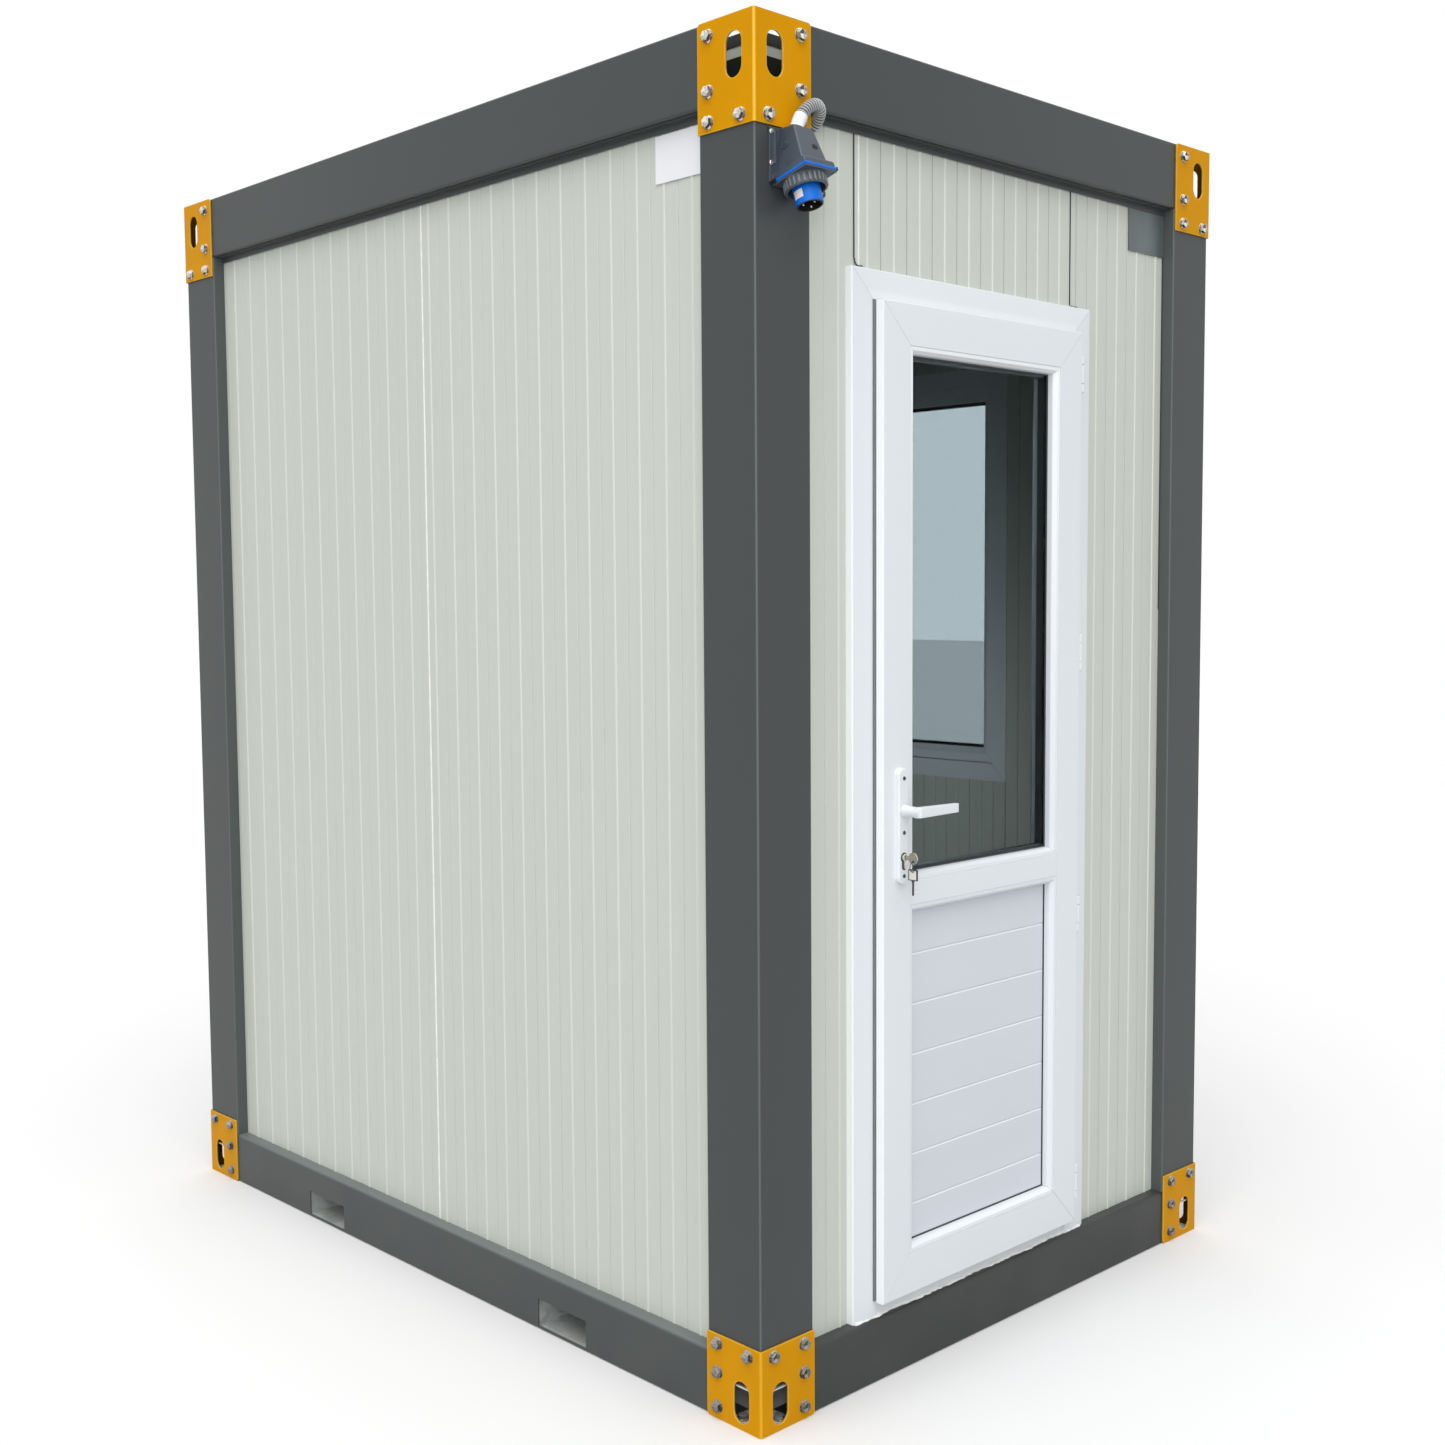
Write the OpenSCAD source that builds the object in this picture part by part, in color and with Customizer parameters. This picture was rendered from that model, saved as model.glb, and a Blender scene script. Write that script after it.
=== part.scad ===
// Security booth: a steel-framed cabin with bolted corner plates, sandwich-panel walls,
// a half-glazed plastic door, one window and a power inlet. Millimetres, +Z up, door towards -Y.
// The origin is on the ground, in the middle of the floor frame.

/* [Cabin] */
// Width over the corner plates, along X
cabin_w = 1490; // [1400:10:2400]
// Length over the corner plates, along Y
cabin_l = 2100; // [1900:10:6000]
// Height from the ground to the top of the frame
cabin_h = 2550; // [2450:10:2900]

/* [Frame] */
// Sheet that the beams and posts are folded from
sheet_t = 3; // [2:0.5:5]
// Height of the floor frame's beams
base_beam_h = 125; // [110:1:180]
// Height of the roof frame's beams
top_beam_h = 145; // [120:1:200]
// Width of each face of a corner post
post_w = 140; // [120:1:160]
// Depth from the frame's face to the wall panels
reveal = 30; // [15:1:45]
// Drip lip that hangs from the roof beams over the panels
drip_lip_h = 14; // [5:1:40]
// Depth of the roof beams' upper flange, the outer side of the gutter
gutter_flange_d = 40; // [20:1:70]
// Depth of the floor beams' lower flange
base_flange_d = 60; // [30:1:70]
// Part of the roof beams' lower flange that carries the roof panel
roof_seat_d = 10; // [6:1:20]

/* [Corner plates] */
// Thickness of the bent corner plates
plate_t = 4; // [3:0.5:8]
// Width of each flange of a corner plate
plate_w = 143; // [125:1:170]
// Height of the corner plates at the ground
base_plate_h = 163; // [135:1:220]
// Height of the corner plates at the roof
top_plate_h = 193; // [160:1:260]
// Width of the lifting slots
slot_w = 35; // [20:1:40]
// Height of the lifting slots
slot_h = 80; // [50:1:90]
// Distance from the corner to a slot
slot_inset = 34; // [20:1:45]
// Distance from the top of a roof plate to its slots
top_slot_drop = 30; // [15:1:60]
// Distance from the ground to the slots of a base plate
base_slot_rise = 12; // [10:1:30]
// Thickness of the foot plate in each lower corner
foot_t = 5; // [3:0.5:10]

/* [Floor and roof] */
// Clear width of the fork pockets
fork_w = 158; // [120:1:220]
// Clear height of the fork pockets
fork_h = 58; // [45:1:65]
// Distance between the middles of the fork pockets
fork_spacing = 924; // [700:1:1100]
// Wall of the galvanised fork ducts
duct_t = 4; // [3:0.5:6]
// Side play between a duct and its hole in the beam
duct_play = 6; // [2:1:12]
// Width of the joist under the middle of the floor
joist_w = 60; // [40:1:100]
// Distance from the top of the frame down to the roof sheet
roof_drop = 20; // [5:1:40]
// Number of ribs along the roof sheet
roof_ribs = 5; // [2:1:8]
// Height of the roof ribs
roof_rib_h = 14; // [6:1:18]
// Width of a roof rib at its foot
roof_rib_w = 64; // [40:1:90]
// Width of a roof rib at its crest
roof_rib_crest = 40; // [20:1:60]

/* [Walls] */
// Thickness of the sandwich panels
panel_t = 50; // [40:1:60]
// Width of the panel at the front of the left wall
left_front_panel_w = 983; // [600:1:1150]

/* [Door] */
// Distance from the cabin's left face to the door frame
door_offset = 271; // [200:1:300]
// Width over the door frame's trim
door_frame_w = 760; // [700:1:860]
// Distance from the roof beam's underside down to the door frame
door_head_drop = 257; // [150:1:350]
// How far the frame stands out from the wall
frame_proud = 19; // [10:1:28]
// How far the trim laps over the wall panels
trim_lap = 24; // [10:1:40]
// Width of the door frame's face
frame_face_w = 66; // [50:1:90]
// Height of the threshold's face
threshold_h = 40; // [30:1:60]
// Depth of the stop that the door closes on
stop_d = 15; // [8:1:20]
// Width of the stop
stop_w = 18; // [14:1:30]
// Overlap of the door leaf on the frame's face
leaf_overlap = 8; // [4:1:12]
// Gap all round between the leaf's body and the frame
leaf_gap = 12; // [9:1:15]
// Gap between the leaf's lip and the frame's face
lip_gap = 6; // [5:0.5:8]
// Thickness of the leaf's lip
leaf_lip_t = 18; // [12:1:24]
// Depth of the whole leaf
leaf_d = 70; // [60:1:72]
// Width of the leaf's stiles and top rail
stile_w = 94; // [80:1:120]
// Height of the leaf's bottom rail
bottom_rail_h = 98; // [80:1:140]
// Height of the leaf's middle rail
mid_rail_h = 78; // [60:1:120]
// Height of the lower infill panel
infill_h = 665; // [400:1:900]
// Thickness of the glazing units and of the infill panel
glazing_t = 24; // [18:1:30]
// Depth of the door's glazing behind its face
glazing_inset = 23; // [15:1:30]

/* [Hinges] */
// Height of a door hinge
hinge_h = 78; // [50:1:110]
// Radius of a hinge's barrel
hinge_r = 6.5; // [5.5:0.5:7.5]
// Radius of a hinge's pin
hinge_pin_r = 2.5; // [1.5:0.5:3.5]
// Distance from the leaf's edge to the hinge axis
hinge_out = 9; // [8:0.5:11]
// Distance from the top and bottom of the leaf to the end hinges' middles
hinge_end = 86; // [60:1:200]
// Thickness of the hinge leaves
hinge_leaf_t = 6; // [4:0.5:8]

/* [Handle and lock] */
// Height of the lever's spindle over the leaf's bottom edge
handle_z = 967; // [850:1:1050]
// Width of the handle plates
handle_plate_w = 30; // [26:1:40]
// Height of the handle plates
handle_plate_h = 225; // [200:1:260]
// Thickness of the handle plates
handle_plate_t = 12; // [8:1:15]
// Distance from the spindle up to the plate's end
handle_plate_up = 83; // [60:1:100]
// Distance from the spindle down to the lock cylinder
lock_drop = 90; // [70:1:92]
// Radius of the spindle
spindle_r = 4.5; // [3:0.5:6]
// Radius of the lever's neck
neck_r = 10; // [8:0.5:12]
// Distance from the plate to the lever's outer face
lever_reach = 44; // [35:1:60]
// Length of the lever from the spindle to its tip
lever_l = 112; // [95:1:130]
// Height of the lever's grip
lever_h = 19; // [14:1:24]
// Thickness of the lever's grip
lever_t = 14; // [10:1:18]
// Radius of the lock cylinder's plug
cylinder_r = 8.5; // [7:0.5:9]
// Width of the lock cylinder's lower body
cylinder_w = 10; // [8:0.5:12]
// Height from the plug's middle to the foot of the lock cylinder
cylinder_drop = 23; // [18:1:28]
// How far the lock cylinder stands out from the handle plates
cylinder_out = 4; // [2:0.5:8]

/* [Keys] */
// Diameter of the keys' bows
key_bow_d = 23; // [18:1:28]
// Thickness of the keys
key_t = 2.4; // [1.5:0.1:3.5]
// Length of the hanging key's blade
key_blade_l = 26; // [20:1:36]
// Width of a key's blade
key_blade_w = 7; // [5:0.5:9]
// Radius of the wire of the key ring
ring_wire_r = 0.9; // [0.6:0.1:1.4]

/* [Window] */
// Width of the window's opening in the right wall
window_w = 1074; // [600:1:1200]
// Distance from the roof beam's underside down to the window's opening
window_head_drop = 294; // [200:1:500]
// Height of the window's opening over the ground
window_sill_z = 1056; // [900:1:1200]
// Width of the window's fixed frame
window_frame_w = 45; // [35:1:60]
// Width of the window's casement
casement_w = 38; // [30:1:60]
// Depth of the casement
casement_d = 49; // [40:1:60]
// Step from the frame's outer face down to the casement
casement_step = 10; // [5:1:15]

/* [Power inlet] */
// Distance from the cabin's left face to the middle of the inlet
inlet_offset = 84; // [75:1:95]
// Width of the inlet's back plate
inlet_back_w = 93; // [86:1:110]
// Height of the inlet's back plate
inlet_back_h = 96; // [85:1:120]
// Thickness of the inlet's back plate
inlet_back_t = 4; // [3:0.5:6]
// Width of the housing at its top
inlet_top_w = 46; // [36:1:60]
// Depth of the housing at its top
inlet_top_d = 41; // [34:1:60]
// Width of the housing at its mouth
inlet_mouth_w = 78; // [70:1:90]
// Depth of the housing at its mouth, along the slope
inlet_mouth_d = 85; // [75:1:100]
// Slope of the mouth, outer edge up
inlet_tilt = 16; // [5:1:25]
// Thickness of the housing's rim
inlet_rim_t = 14; // [8:1:20]
// Thickness of the gasket
gasket_t = 4; // [2:0.5:6]
// Outer radius of the bayonet ring
bayonet_r = 39; // [36:0.5:42]
// Length of the bayonet ring
bayonet_l = 24; // [15:1:35]
// Wall of the bayonet ring
bayonet_t = 5; // [3:0.5:8]
// Outer radius of the plug's sleeve
sleeve_r = 25; // [20:0.5:28]
// Wall of the plug's sleeve
sleeve_t = 3; // [2:0.5:5]
// Length of the plug's sleeve below the gasket
sleeve_l = 52; // [40:1:70]
// Depth of the plug's recess
recess_d = 34; // [20:1:38]
// Radius of the contact pins
contact_r = 3; // [2:0.5:4]
// Radius of the circle that the contact pins stand on
contact_circle_r = 12; // [9:0.5:14]
// Outer diameter of the corrugated conduit
conduit_d = 22; // [16:1:25]
// Height of the gland on the housing
gland_h = 14; // [8:1:20]
// Radius of the gland
gland_r = 13; // [12:0.5:16]

/* [Hidden] */
// Overrun of the cuts
cut = 5;
// Play of the hinge pins and of the spindle's bearings
pin_play = 0.3;
// Play round the spindle in the leaf
spindle_play = 1.5;
// Gap between neighbouring pieces that move past each other at a pin
seat_gap = 0.5;
// Gap between the beams' ends and the crossing beams
beam_end_gap = 2;
// Facets of the round pieces
$fn = 48;
// Share of a hinge's height that is the leaf's own barrel
hinge_middle_share = 0.5;
// Share of the leaf's height between hinges, at the two middle hinges
hinge_low_share = 0.354;
hinge_high_share = 0.649;
// Shares of a key's bow for its hole and for its neck
key_hole_share = 0.28;
key_neck_share = 0.3;
// Share of the lever's height that is left at its tip
lever_tip_share = 0.9;
// Share of the circle's radius for the key ring
ring_share = 0.42;
// Sides of the conduit's solid
conduit_sides = 12;

// Frame planes, half widths
frame_x = cabin_w / 2 - plate_t;
frame_y = cabin_l / 2 - plate_t;
wall_out_x = frame_x - reveal;
wall_out_y = frame_y - reveal;
wall_in_x = wall_out_x - panel_t;
wall_in_y = wall_out_y - panel_t;
top_beam_z = cabin_h - top_beam_h;
wall_h = top_beam_z - base_beam_h;
wall_flange_d = reveal + panel_t;
top_flange_d = wall_flange_d + roof_seat_d;
corner_void = top_flange_d + beam_end_gap;
front_beam_l = 2 * (frame_x - corner_void);
side_beam_l = 2 * (frame_y - corner_void);
// Fork ducts, seated on the beams' lower flanges
fork_z = sheet_t + duct_t;
duct_top_z = fork_z + fork_h + duct_t;
duct_l = 2 * (frame_x - sheet_t);
roof_z = top_beam_z + sheet_t;
roof_t = top_beam_h - sheet_t - roof_drop;
roof_gap = beam_end_gap;
roof_edge = wall_flange_d + roof_gap;
left_seam_y = left_front_panel_w - wall_in_y;
// Door planes. Depths are measured from the front wall's outer face, outwards negative
door_x0 = door_offset - cabin_w / 2;
door_x1 = door_x0 + door_frame_w;
door_top_z = top_beam_z - door_head_drop;
opening_x0 = door_x0 + trim_lap;
opening_x1 = door_x1 - trim_lap;
opening_top_z = door_top_z - trim_lap;
clear_x0 = door_x0 + frame_face_w;
clear_x1 = door_x1 - frame_face_w;
clear_z0 = base_beam_h + threshold_h;
clear_z1 = door_top_z - frame_face_w;
leaf_x0 = clear_x0 - leaf_overlap;
leaf_x1 = clear_x1 + leaf_overlap;
leaf_z0 = clear_z0 - leaf_overlap;
leaf_z1 = clear_z1 + leaf_overlap;
leaf_h = leaf_z1 - leaf_z0;
leaf_inset = leaf_overlap + leaf_gap;
leaf_face_y = -wall_out_y - frame_proud - lip_gap - leaf_lip_t;
leaf_back_y = leaf_face_y + leaf_d;
glazed_x0 = leaf_x0 + stile_w;
glazed_x1 = leaf_x1 - stile_w;
infill_z0 = leaf_z0 + bottom_rail_h;
infill_z1 = infill_z0 + infill_h;
glass_z0 = infill_z1 + mid_rail_h;
glass_z1 = leaf_z1 - stile_w;
// Hinge axis
hinge_x = leaf_x1 + hinge_out;
hinge_y = leaf_face_y + leaf_lip_t / 2;
hinge_zs = [leaf_z0 + hinge_end,
            leaf_z0 + leaf_h * hinge_low_share,
            leaf_z0 + leaf_h * hinge_high_share,
            leaf_z1 - hinge_end];
hinge_barrel_h = hinge_h * hinge_middle_share;
// Handle places
handle_x = leaf_x0 + stile_w / 2;
spindle_z = leaf_z0 + handle_z;
lock_z = spindle_z - lock_drop;
plate_top_z = spindle_z + handle_plate_up;
plate_face_y = leaf_face_y - handle_plate_t;
plate_back_y = leaf_back_y + handle_plate_t;
// Key places
key_x = handle_x;
key_r = key_bow_d / 2;
key_hole_r = key_r * key_hole_share;
key_neck_l = key_bow_d * key_neck_share;
key_bow_y = plate_face_y - cylinder_out - key_neck_l - key_r;
ring_r = key_bow_d * ring_share;
// Window planes
window_top_z = top_beam_z - window_head_drop;
window_out_x = wall_out_x + frame_proud;
glass_inset = window_frame_w + casement_w;
// Inlet places
inlet_x = inlet_offset - cabin_w / 2;
inlet_top_z = cabin_h - top_plate_h - sheet_t;
inlet_mouth_z = inlet_top_z - inlet_back_h;
gland_y = -frame_y - inlet_top_d / 2 - inlet_back_t;
conduit_z = inlet_top_z + gland_h;
// Route of the conduit from the top of its gland, over to the wall under the drip lip
wall_reach = -wall_out_y - gland_y;
conduit_route = [[0, 0, 0], [3, 0, 10], [12, 0, 22], [28, 0, 31], [48, 1, 34],
                 [66, 8, 28], [77, 22, 17], [79, 38, 8], [79, wall_reach, 8]];

frame_grey = [0.33, 0.35, 0.35];
panel_white = [0.78, 0.80, 0.77];
plate_yellow = [0.87, 0.62, 0.02];
door_white = [0.90, 0.91, 0.93];
glass_tint = [0.55, 0.65, 0.62, 0.4];
galvanised = [0.66, 0.68, 0.69];
inlet_grey = [0.22, 0.25, 0.29];
inlet_blue = [0.05, 0.36, 0.80];
conduit_grey = [0.42, 0.44, 0.45];

// Box between two corners
module span(low, high) {
    translate(low)
        cube(high - low);
}

// Puts a shape that is drawn inwards from the front left corner into corner sx, sy
module in_corner(sx, sy, half_x, half_y) {
    mirror([sx > 0 ? 1 : 0, 0, 0])
        mirror([0, sy > 0 ? 1 : 0, 0])
            translate([-half_x, -half_y, 0])
                children();
}

// Runs a section, drawn as depth and height, along the front
module along_front(length) {
    translate([0, -frame_y, 0])
        rotate([90, 0, 90])
            linear_extrude(height = length, center = true)
                children();
}

// Runs a section along the left side
module along_left(length) {
    translate([-frame_x, 0, 0])
        rotate([90, 0, 0])
            linear_extrude(height = length, center = true)
                children();
}

// Folded section of the floor beams
module base_section() {
    polygon([[0, 0], [base_flange_d, 0], [base_flange_d, sheet_t], [sheet_t, sheet_t],
             [sheet_t, base_beam_h - sheet_t], [wall_flange_d, base_beam_h - sheet_t],
             [wall_flange_d, base_beam_h], [0, base_beam_h]]);
}

// Folded section of the roof beams, with the gutter inside
module top_section() {
    low = top_beam_z;
    polygon([[0, low], [top_flange_d, low], [top_flange_d, low + sheet_t], [sheet_t, low + sheet_t],
             [sheet_t, cabin_h - sheet_t], [gutter_flange_d, cabin_h - sheet_t],
             [gutter_flange_d, cabin_h], [0, cabin_h]]);
}

// Section of the drip lip under a roof beam, in front of the wall panels
module drip_section() {
    translate([reveal - sheet_t, top_beam_z - drip_lip_h])
        square([sheet_t, drip_lip_h + sheet_t]);
}

// Folded section of a corner post, two faces with a return at each edge
module post_section() {
    edge = post_w - sheet_t;
    polygon([[0, 0], [post_w, 0], [post_w, reveal], [edge, reveal], [edge, sheet_t],
             [sheet_t, sheet_t], [sheet_t, edge], [reveal, edge], [reveal, post_w], [0, post_w]]);
}

module corner_post(sx, sy) {
    color(frame_grey)
        in_corner(sx, sy, frame_x, frame_y)
            translate([0, 0, base_beam_h])
                linear_extrude(height = wall_h)
                    post_section();
}

// Upright slot with round ends, cut along Y
module slot_cut(z0) {
    r = slot_w / 2;
    translate([slot_inset, -cut, z0 + r])
        cube([slot_w, plate_t + 2 * cut, slot_h - slot_w]);
    for (z = [z0 + r, z0 + slot_h - r])
        translate([slot_inset + r, plate_t + cut, z])
            rotate([90, 0, 0])
                cylinder(r = r, h = plate_t + 2 * cut);
}

// Bent plate with one slot in each flange
module bent_plate(z0, height, slot_z) {
    difference() {
        union() {
            translate([0, 0, z0])
                cube([plate_w, plate_t, height]);
            translate([0, 0, z0])
                cube([plate_t, plate_w, height]);
        }
        slot_cut(slot_z);
        mirror([1, -1, 0])
            slot_cut(slot_z);
    }
}

// Foot in a lower corner, between the bent plate and the beams' ends
module foot() {
    side = corner_void - beam_end_gap;
    translate([plate_t, plate_t, 0])
        cube([side, side, foot_t]);
}

module base_plate(sx, sy) {
    color(plate_yellow)
        in_corner(sx, sy, cabin_w / 2, cabin_l / 2)
            union() {
                bent_plate(0, base_plate_h, base_slot_rise);
                foot();
            }
}

module top_plate(sx, sy) {
    color(plate_yellow)
        in_corner(sx, sy, cabin_w / 2, cabin_l / 2)
            bent_plate(cabin_h - top_plate_h, top_plate_h, cabin_h - top_slot_drop - slot_h);
}

// Holes for the fork ducts through a side beam's web
module fork_cuts() {
    for (s = [-1, 1])
        translate([-frame_x - cut, s * fork_spacing / 2 - fork_w / 2, fork_z])
            cube([sheet_t + 2 * cut, fork_w, fork_h]);
}

module side_base_beam() {
    color(frame_grey)
        difference() {
            along_left(side_beam_l) base_section();
            fork_cuts();
        }
}

module fork_ducts() {
    inner_w = fork_w + duct_play;
    outer_w = inner_w + 2 * duct_t;
    color(galvanised)
        for (s = [-1, 1])
            translate([-duct_l / 2, s * fork_spacing / 2 - outer_w / 2, fork_z - duct_t])
                difference() {
                    cube([duct_l, outer_w, fork_h + 2 * duct_t]);
                    translate([-cut, duct_t, duct_t])
                        cube([duct_l + 2 * cut, inner_w, fork_h]);
                }
}

module floor_joist() {
    length = 2 * (frame_x - base_flange_d);
    color(galvanised)
        translate([-length / 2, -joist_w / 2, 0])
            difference() {
                cube([length, joist_w, duct_top_z]);
                translate([-cut, sheet_t, sheet_t])
                    cube([length + 2 * cut, joist_w - 2 * sheet_t, duct_top_z - 2 * sheet_t]);
            }
}

module floor_panel() {
    color([0.52, 0.53, 0.52])
        span([-wall_in_x, -wall_in_y, duct_top_z], [wall_in_x, wall_in_y, base_beam_h]);
}

// Section of the roof panel across the cabin, with its ribs on top
module roof_section() {
    half_x = frame_x - roof_edge;
    pitch = 2 * half_x / roof_ribs;
    top = roof_z + roof_t;
    rib = [[-roof_rib_w / 2, 0], [-roof_rib_crest / 2, roof_rib_h],
           [roof_rib_crest / 2, roof_rib_h], [roof_rib_w / 2, 0]];
    ribs = [for (i = [0 : roof_ribs - 1], p = rib)
            [(i + 0.5) * pitch - half_x + p[0], top + p[1]]];
    polygon(concat([[-half_x, roof_z], [-half_x, top]], ribs, [[half_x, top], [half_x, roof_z]]));
}

module roof_panel() {
    color(panel_white)
        rotate([90, 0, 0])
            linear_extrude(height = 2 * (frame_y - roof_edge), center = true)
                roof_section();
}

// Wall panel across the front, between two places along X
module front_panel(x0, x1, z0) {
    color(panel_white)
        span([x0, -wall_out_y, z0], [x1, -wall_in_y, top_beam_z]);
}

// Wall panel along a side, between two places along Y and two heights
module side_panel(side, y0, y1, z0, z1) {
    color(panel_white)
        mirror([side > 0 ? 1 : 0, 0, 0])
            span([-wall_out_x, y0, z0], [-wall_in_x, y1, z1]);
}

module back_wall() {
    color(panel_white)
        span([-wall_out_x, wall_in_y, base_beam_h], [wall_out_x, wall_out_y, top_beam_z]);
}

// Hinge barrels along the hinge axis: the frame's two ends with the pin, or the leaf's middle
module hinge_barrel(z0, h) {
    translate([hinge_x, hinge_y, z0])
        cylinder(r = hinge_r, h = h);
}

module frame_hinge(z) {
    end_h = (hinge_h - hinge_barrel_h) / 2 - seat_gap;
    frame_face_y = -wall_out_y - frame_proud;
    for (z0 = [z - hinge_h / 2, z + hinge_h / 2 - end_h]) {
        hinge_barrel(z0, end_h);
        span([hinge_x, hinge_y, z0], [hinge_x + hinge_r, frame_face_y, z0 + end_h]);
    }
    translate([hinge_x, hinge_y, z - hinge_h / 2])
        cylinder(r = hinge_pin_r, h = hinge_h);
}

module leaf_hinge(z) {
    z0 = z - hinge_barrel_h / 2;
    difference() {
        union() {
            hinge_barrel(z0, hinge_barrel_h);
            span([leaf_x1, hinge_y - hinge_leaf_t / 2, z0],
                 [hinge_x, hinge_y + hinge_leaf_t / 2, z0 + hinge_barrel_h]);
        }
        translate([hinge_x, hinge_y, z0 - cut])
            cylinder(r = hinge_pin_r + pin_play, h = hinge_barrel_h + 2 * cut);
    }
}

module door_frame() {
    face_y = -wall_out_y - frame_proud;
    color(door_white)
        union() {
            difference() {
                union() {
                    span([door_x0, face_y, base_beam_h], [door_x1, -wall_out_y, door_top_z]);
                    span([opening_x0, -wall_out_y, base_beam_h], [opening_x1, -wall_in_y, opening_top_z]);
                }
                span([clear_x0, face_y - cut, clear_z0], [clear_x1, -wall_in_y - stop_d, clear_z1]);
                span([clear_x0 + stop_w, -wall_in_y - stop_d - cut, clear_z0 + stop_w],
                     [clear_x1 - stop_w, -wall_in_y + cut, clear_z1 - stop_w]);
            }
            for (z = hinge_zs)
                frame_hinge(z);
        }
}

module door_hinges() {
    color(door_white)
        for (z = hinge_zs)
            leaf_hinge(z);
}

// Hole for the spindle through the leaf and its plates
module spindle_cut(play) {
    translate([handle_x, plate_back_y + cut, spindle_z])
        rotate([90, 0, 0])
            cylinder(r = spindle_r + play, h = plate_back_y - plate_face_y + 2 * cut);
}

module door_leaf() {
    lip_back_y = leaf_face_y + leaf_lip_t;
    color(door_white)
        difference() {
            union() {
                span([leaf_x0, leaf_face_y, leaf_z0], [leaf_x1, lip_back_y, leaf_z1]);
                span([leaf_x0 + leaf_inset, lip_back_y, leaf_z0 + leaf_inset],
                     [leaf_x1 - leaf_inset, leaf_back_y, leaf_z1 - leaf_inset]);
            }
            span([glazed_x0, leaf_face_y - cut, glass_z0], [glazed_x1, leaf_back_y + cut, glass_z1]);
            span([glazed_x0, leaf_face_y - cut, infill_z0], [glazed_x1, leaf_back_y + cut, infill_z1]);
            spindle_cut(spindle_play);
        }
}

// Slab that fills an opening of the leaf at the glazing depth
module glazing(z0, z1) {
    span([glazed_x0, leaf_face_y + glazing_inset, z0],
         [glazed_x1, leaf_face_y + glazing_inset + glazing_t, z1]);
}

module door_glass() {
    color(glass_tint)
        glazing(glass_z0, glass_z1);
}

module door_infill() {
    color(door_white)
        glazing(infill_z0, infill_z1);
}

// Plate with round ends, standing on a face of the leaf, from y0 to y1
module handle_plate(y0, y1) {
    r = handle_plate_w / 2;
    low_z = plate_top_z - handle_plate_h;
    span([handle_x - r, y0, low_z + r], [handle_x + r, y1, plate_top_z - r]);
    for (z = [low_z + r, plate_top_z - r])
        translate([handle_x, y1, z])
            rotate([90, 0, 0])
                cylinder(r = r, h = y1 - y0);
}

module handle_plates() {
    color(door_white)
        difference() {
            union() {
                handle_plate(plate_face_y, leaf_face_y);
                handle_plate(leaf_back_y, plate_back_y);
            }
            spindle_cut(pin_play);
        }
}

// Profile cylinder's end, from y0 to y1
module cylinder_end(y0, y1) {
    translate([handle_x, y1, lock_z])
        rotate([90, 0, 0])
            cylinder(r = cylinder_r, h = y1 - y0);
    span([handle_x - cylinder_w / 2, y0, lock_z - cylinder_drop], [handle_x + cylinder_w / 2, y1, lock_z]);
}

// Key in the lock, its bow upright, with the hole for the ring
module lock_key() {
    blade_w = key_blade_w / 2;
    difference() {
        union() {
            translate([key_x - key_t / 2, key_bow_y, lock_z])
                rotate([0, 90, 0])
                    cylinder(r = key_r, h = key_t);
            span([key_x - key_t / 2, key_bow_y, lock_z - blade_w],
                 [key_x + key_t / 2, plate_face_y - cylinder_out, lock_z + blade_w]);
        }
        translate([key_x - key_t / 2 - cut, key_bow_y, lock_z - key_r + 2 * key_hole_r])
            rotate([0, 90, 0])
                cylinder(r = key_hole_r, h = key_t + 2 * cut);
    }
}

// Ring through the key's bow
module key_ring(ring_z) {
    translate([key_x, key_bow_y, ring_z])
        rotate([90, 0, 0])
            rotate_extrude()
                translate([ring_r, 0])
                    circle(r = ring_wire_r);
}

// Second key, hanging from the ring
module hanging_key(top_z) {
    bow_z = top_z - key_r;
    difference() {
        union() {
            translate([key_x + key_t / 2, key_bow_y, bow_z])
                rotate([0, -90, 0])
                    cylinder(r = key_r, h = key_t);
            span([key_x - key_t / 2, key_bow_y - key_blade_w / 2, bow_z - key_r - key_blade_l],
                 [key_x + key_t / 2, key_bow_y + key_blade_w / 2, bow_z]);
        }
        translate([key_x - key_t / 2 - cut, key_bow_y, bow_z + key_r - 2 * key_hole_r])
            rotate([0, 90, 0])
                cylinder(r = key_hole_r, h = key_t + 2 * cut);
    }
}

module lock_and_keys() {
    hole_z = lock_z - key_r + 2 * key_hole_r;
    ring_z = hole_z - key_hole_r + 2 * ring_wire_r - ring_r;
    hang_z = ring_z - ring_r + ring_wire_r + 2 * key_hole_r + key_hole_r;
    color(galvanised) {
        union() {
            cylinder_end(plate_face_y - cylinder_out, plate_face_y);
            lock_key();
        }
        cylinder_end(plate_back_y, plate_back_y + cylinder_out);
        key_ring(ring_z);
        hanging_key(hang_z);
    }
}

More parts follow.
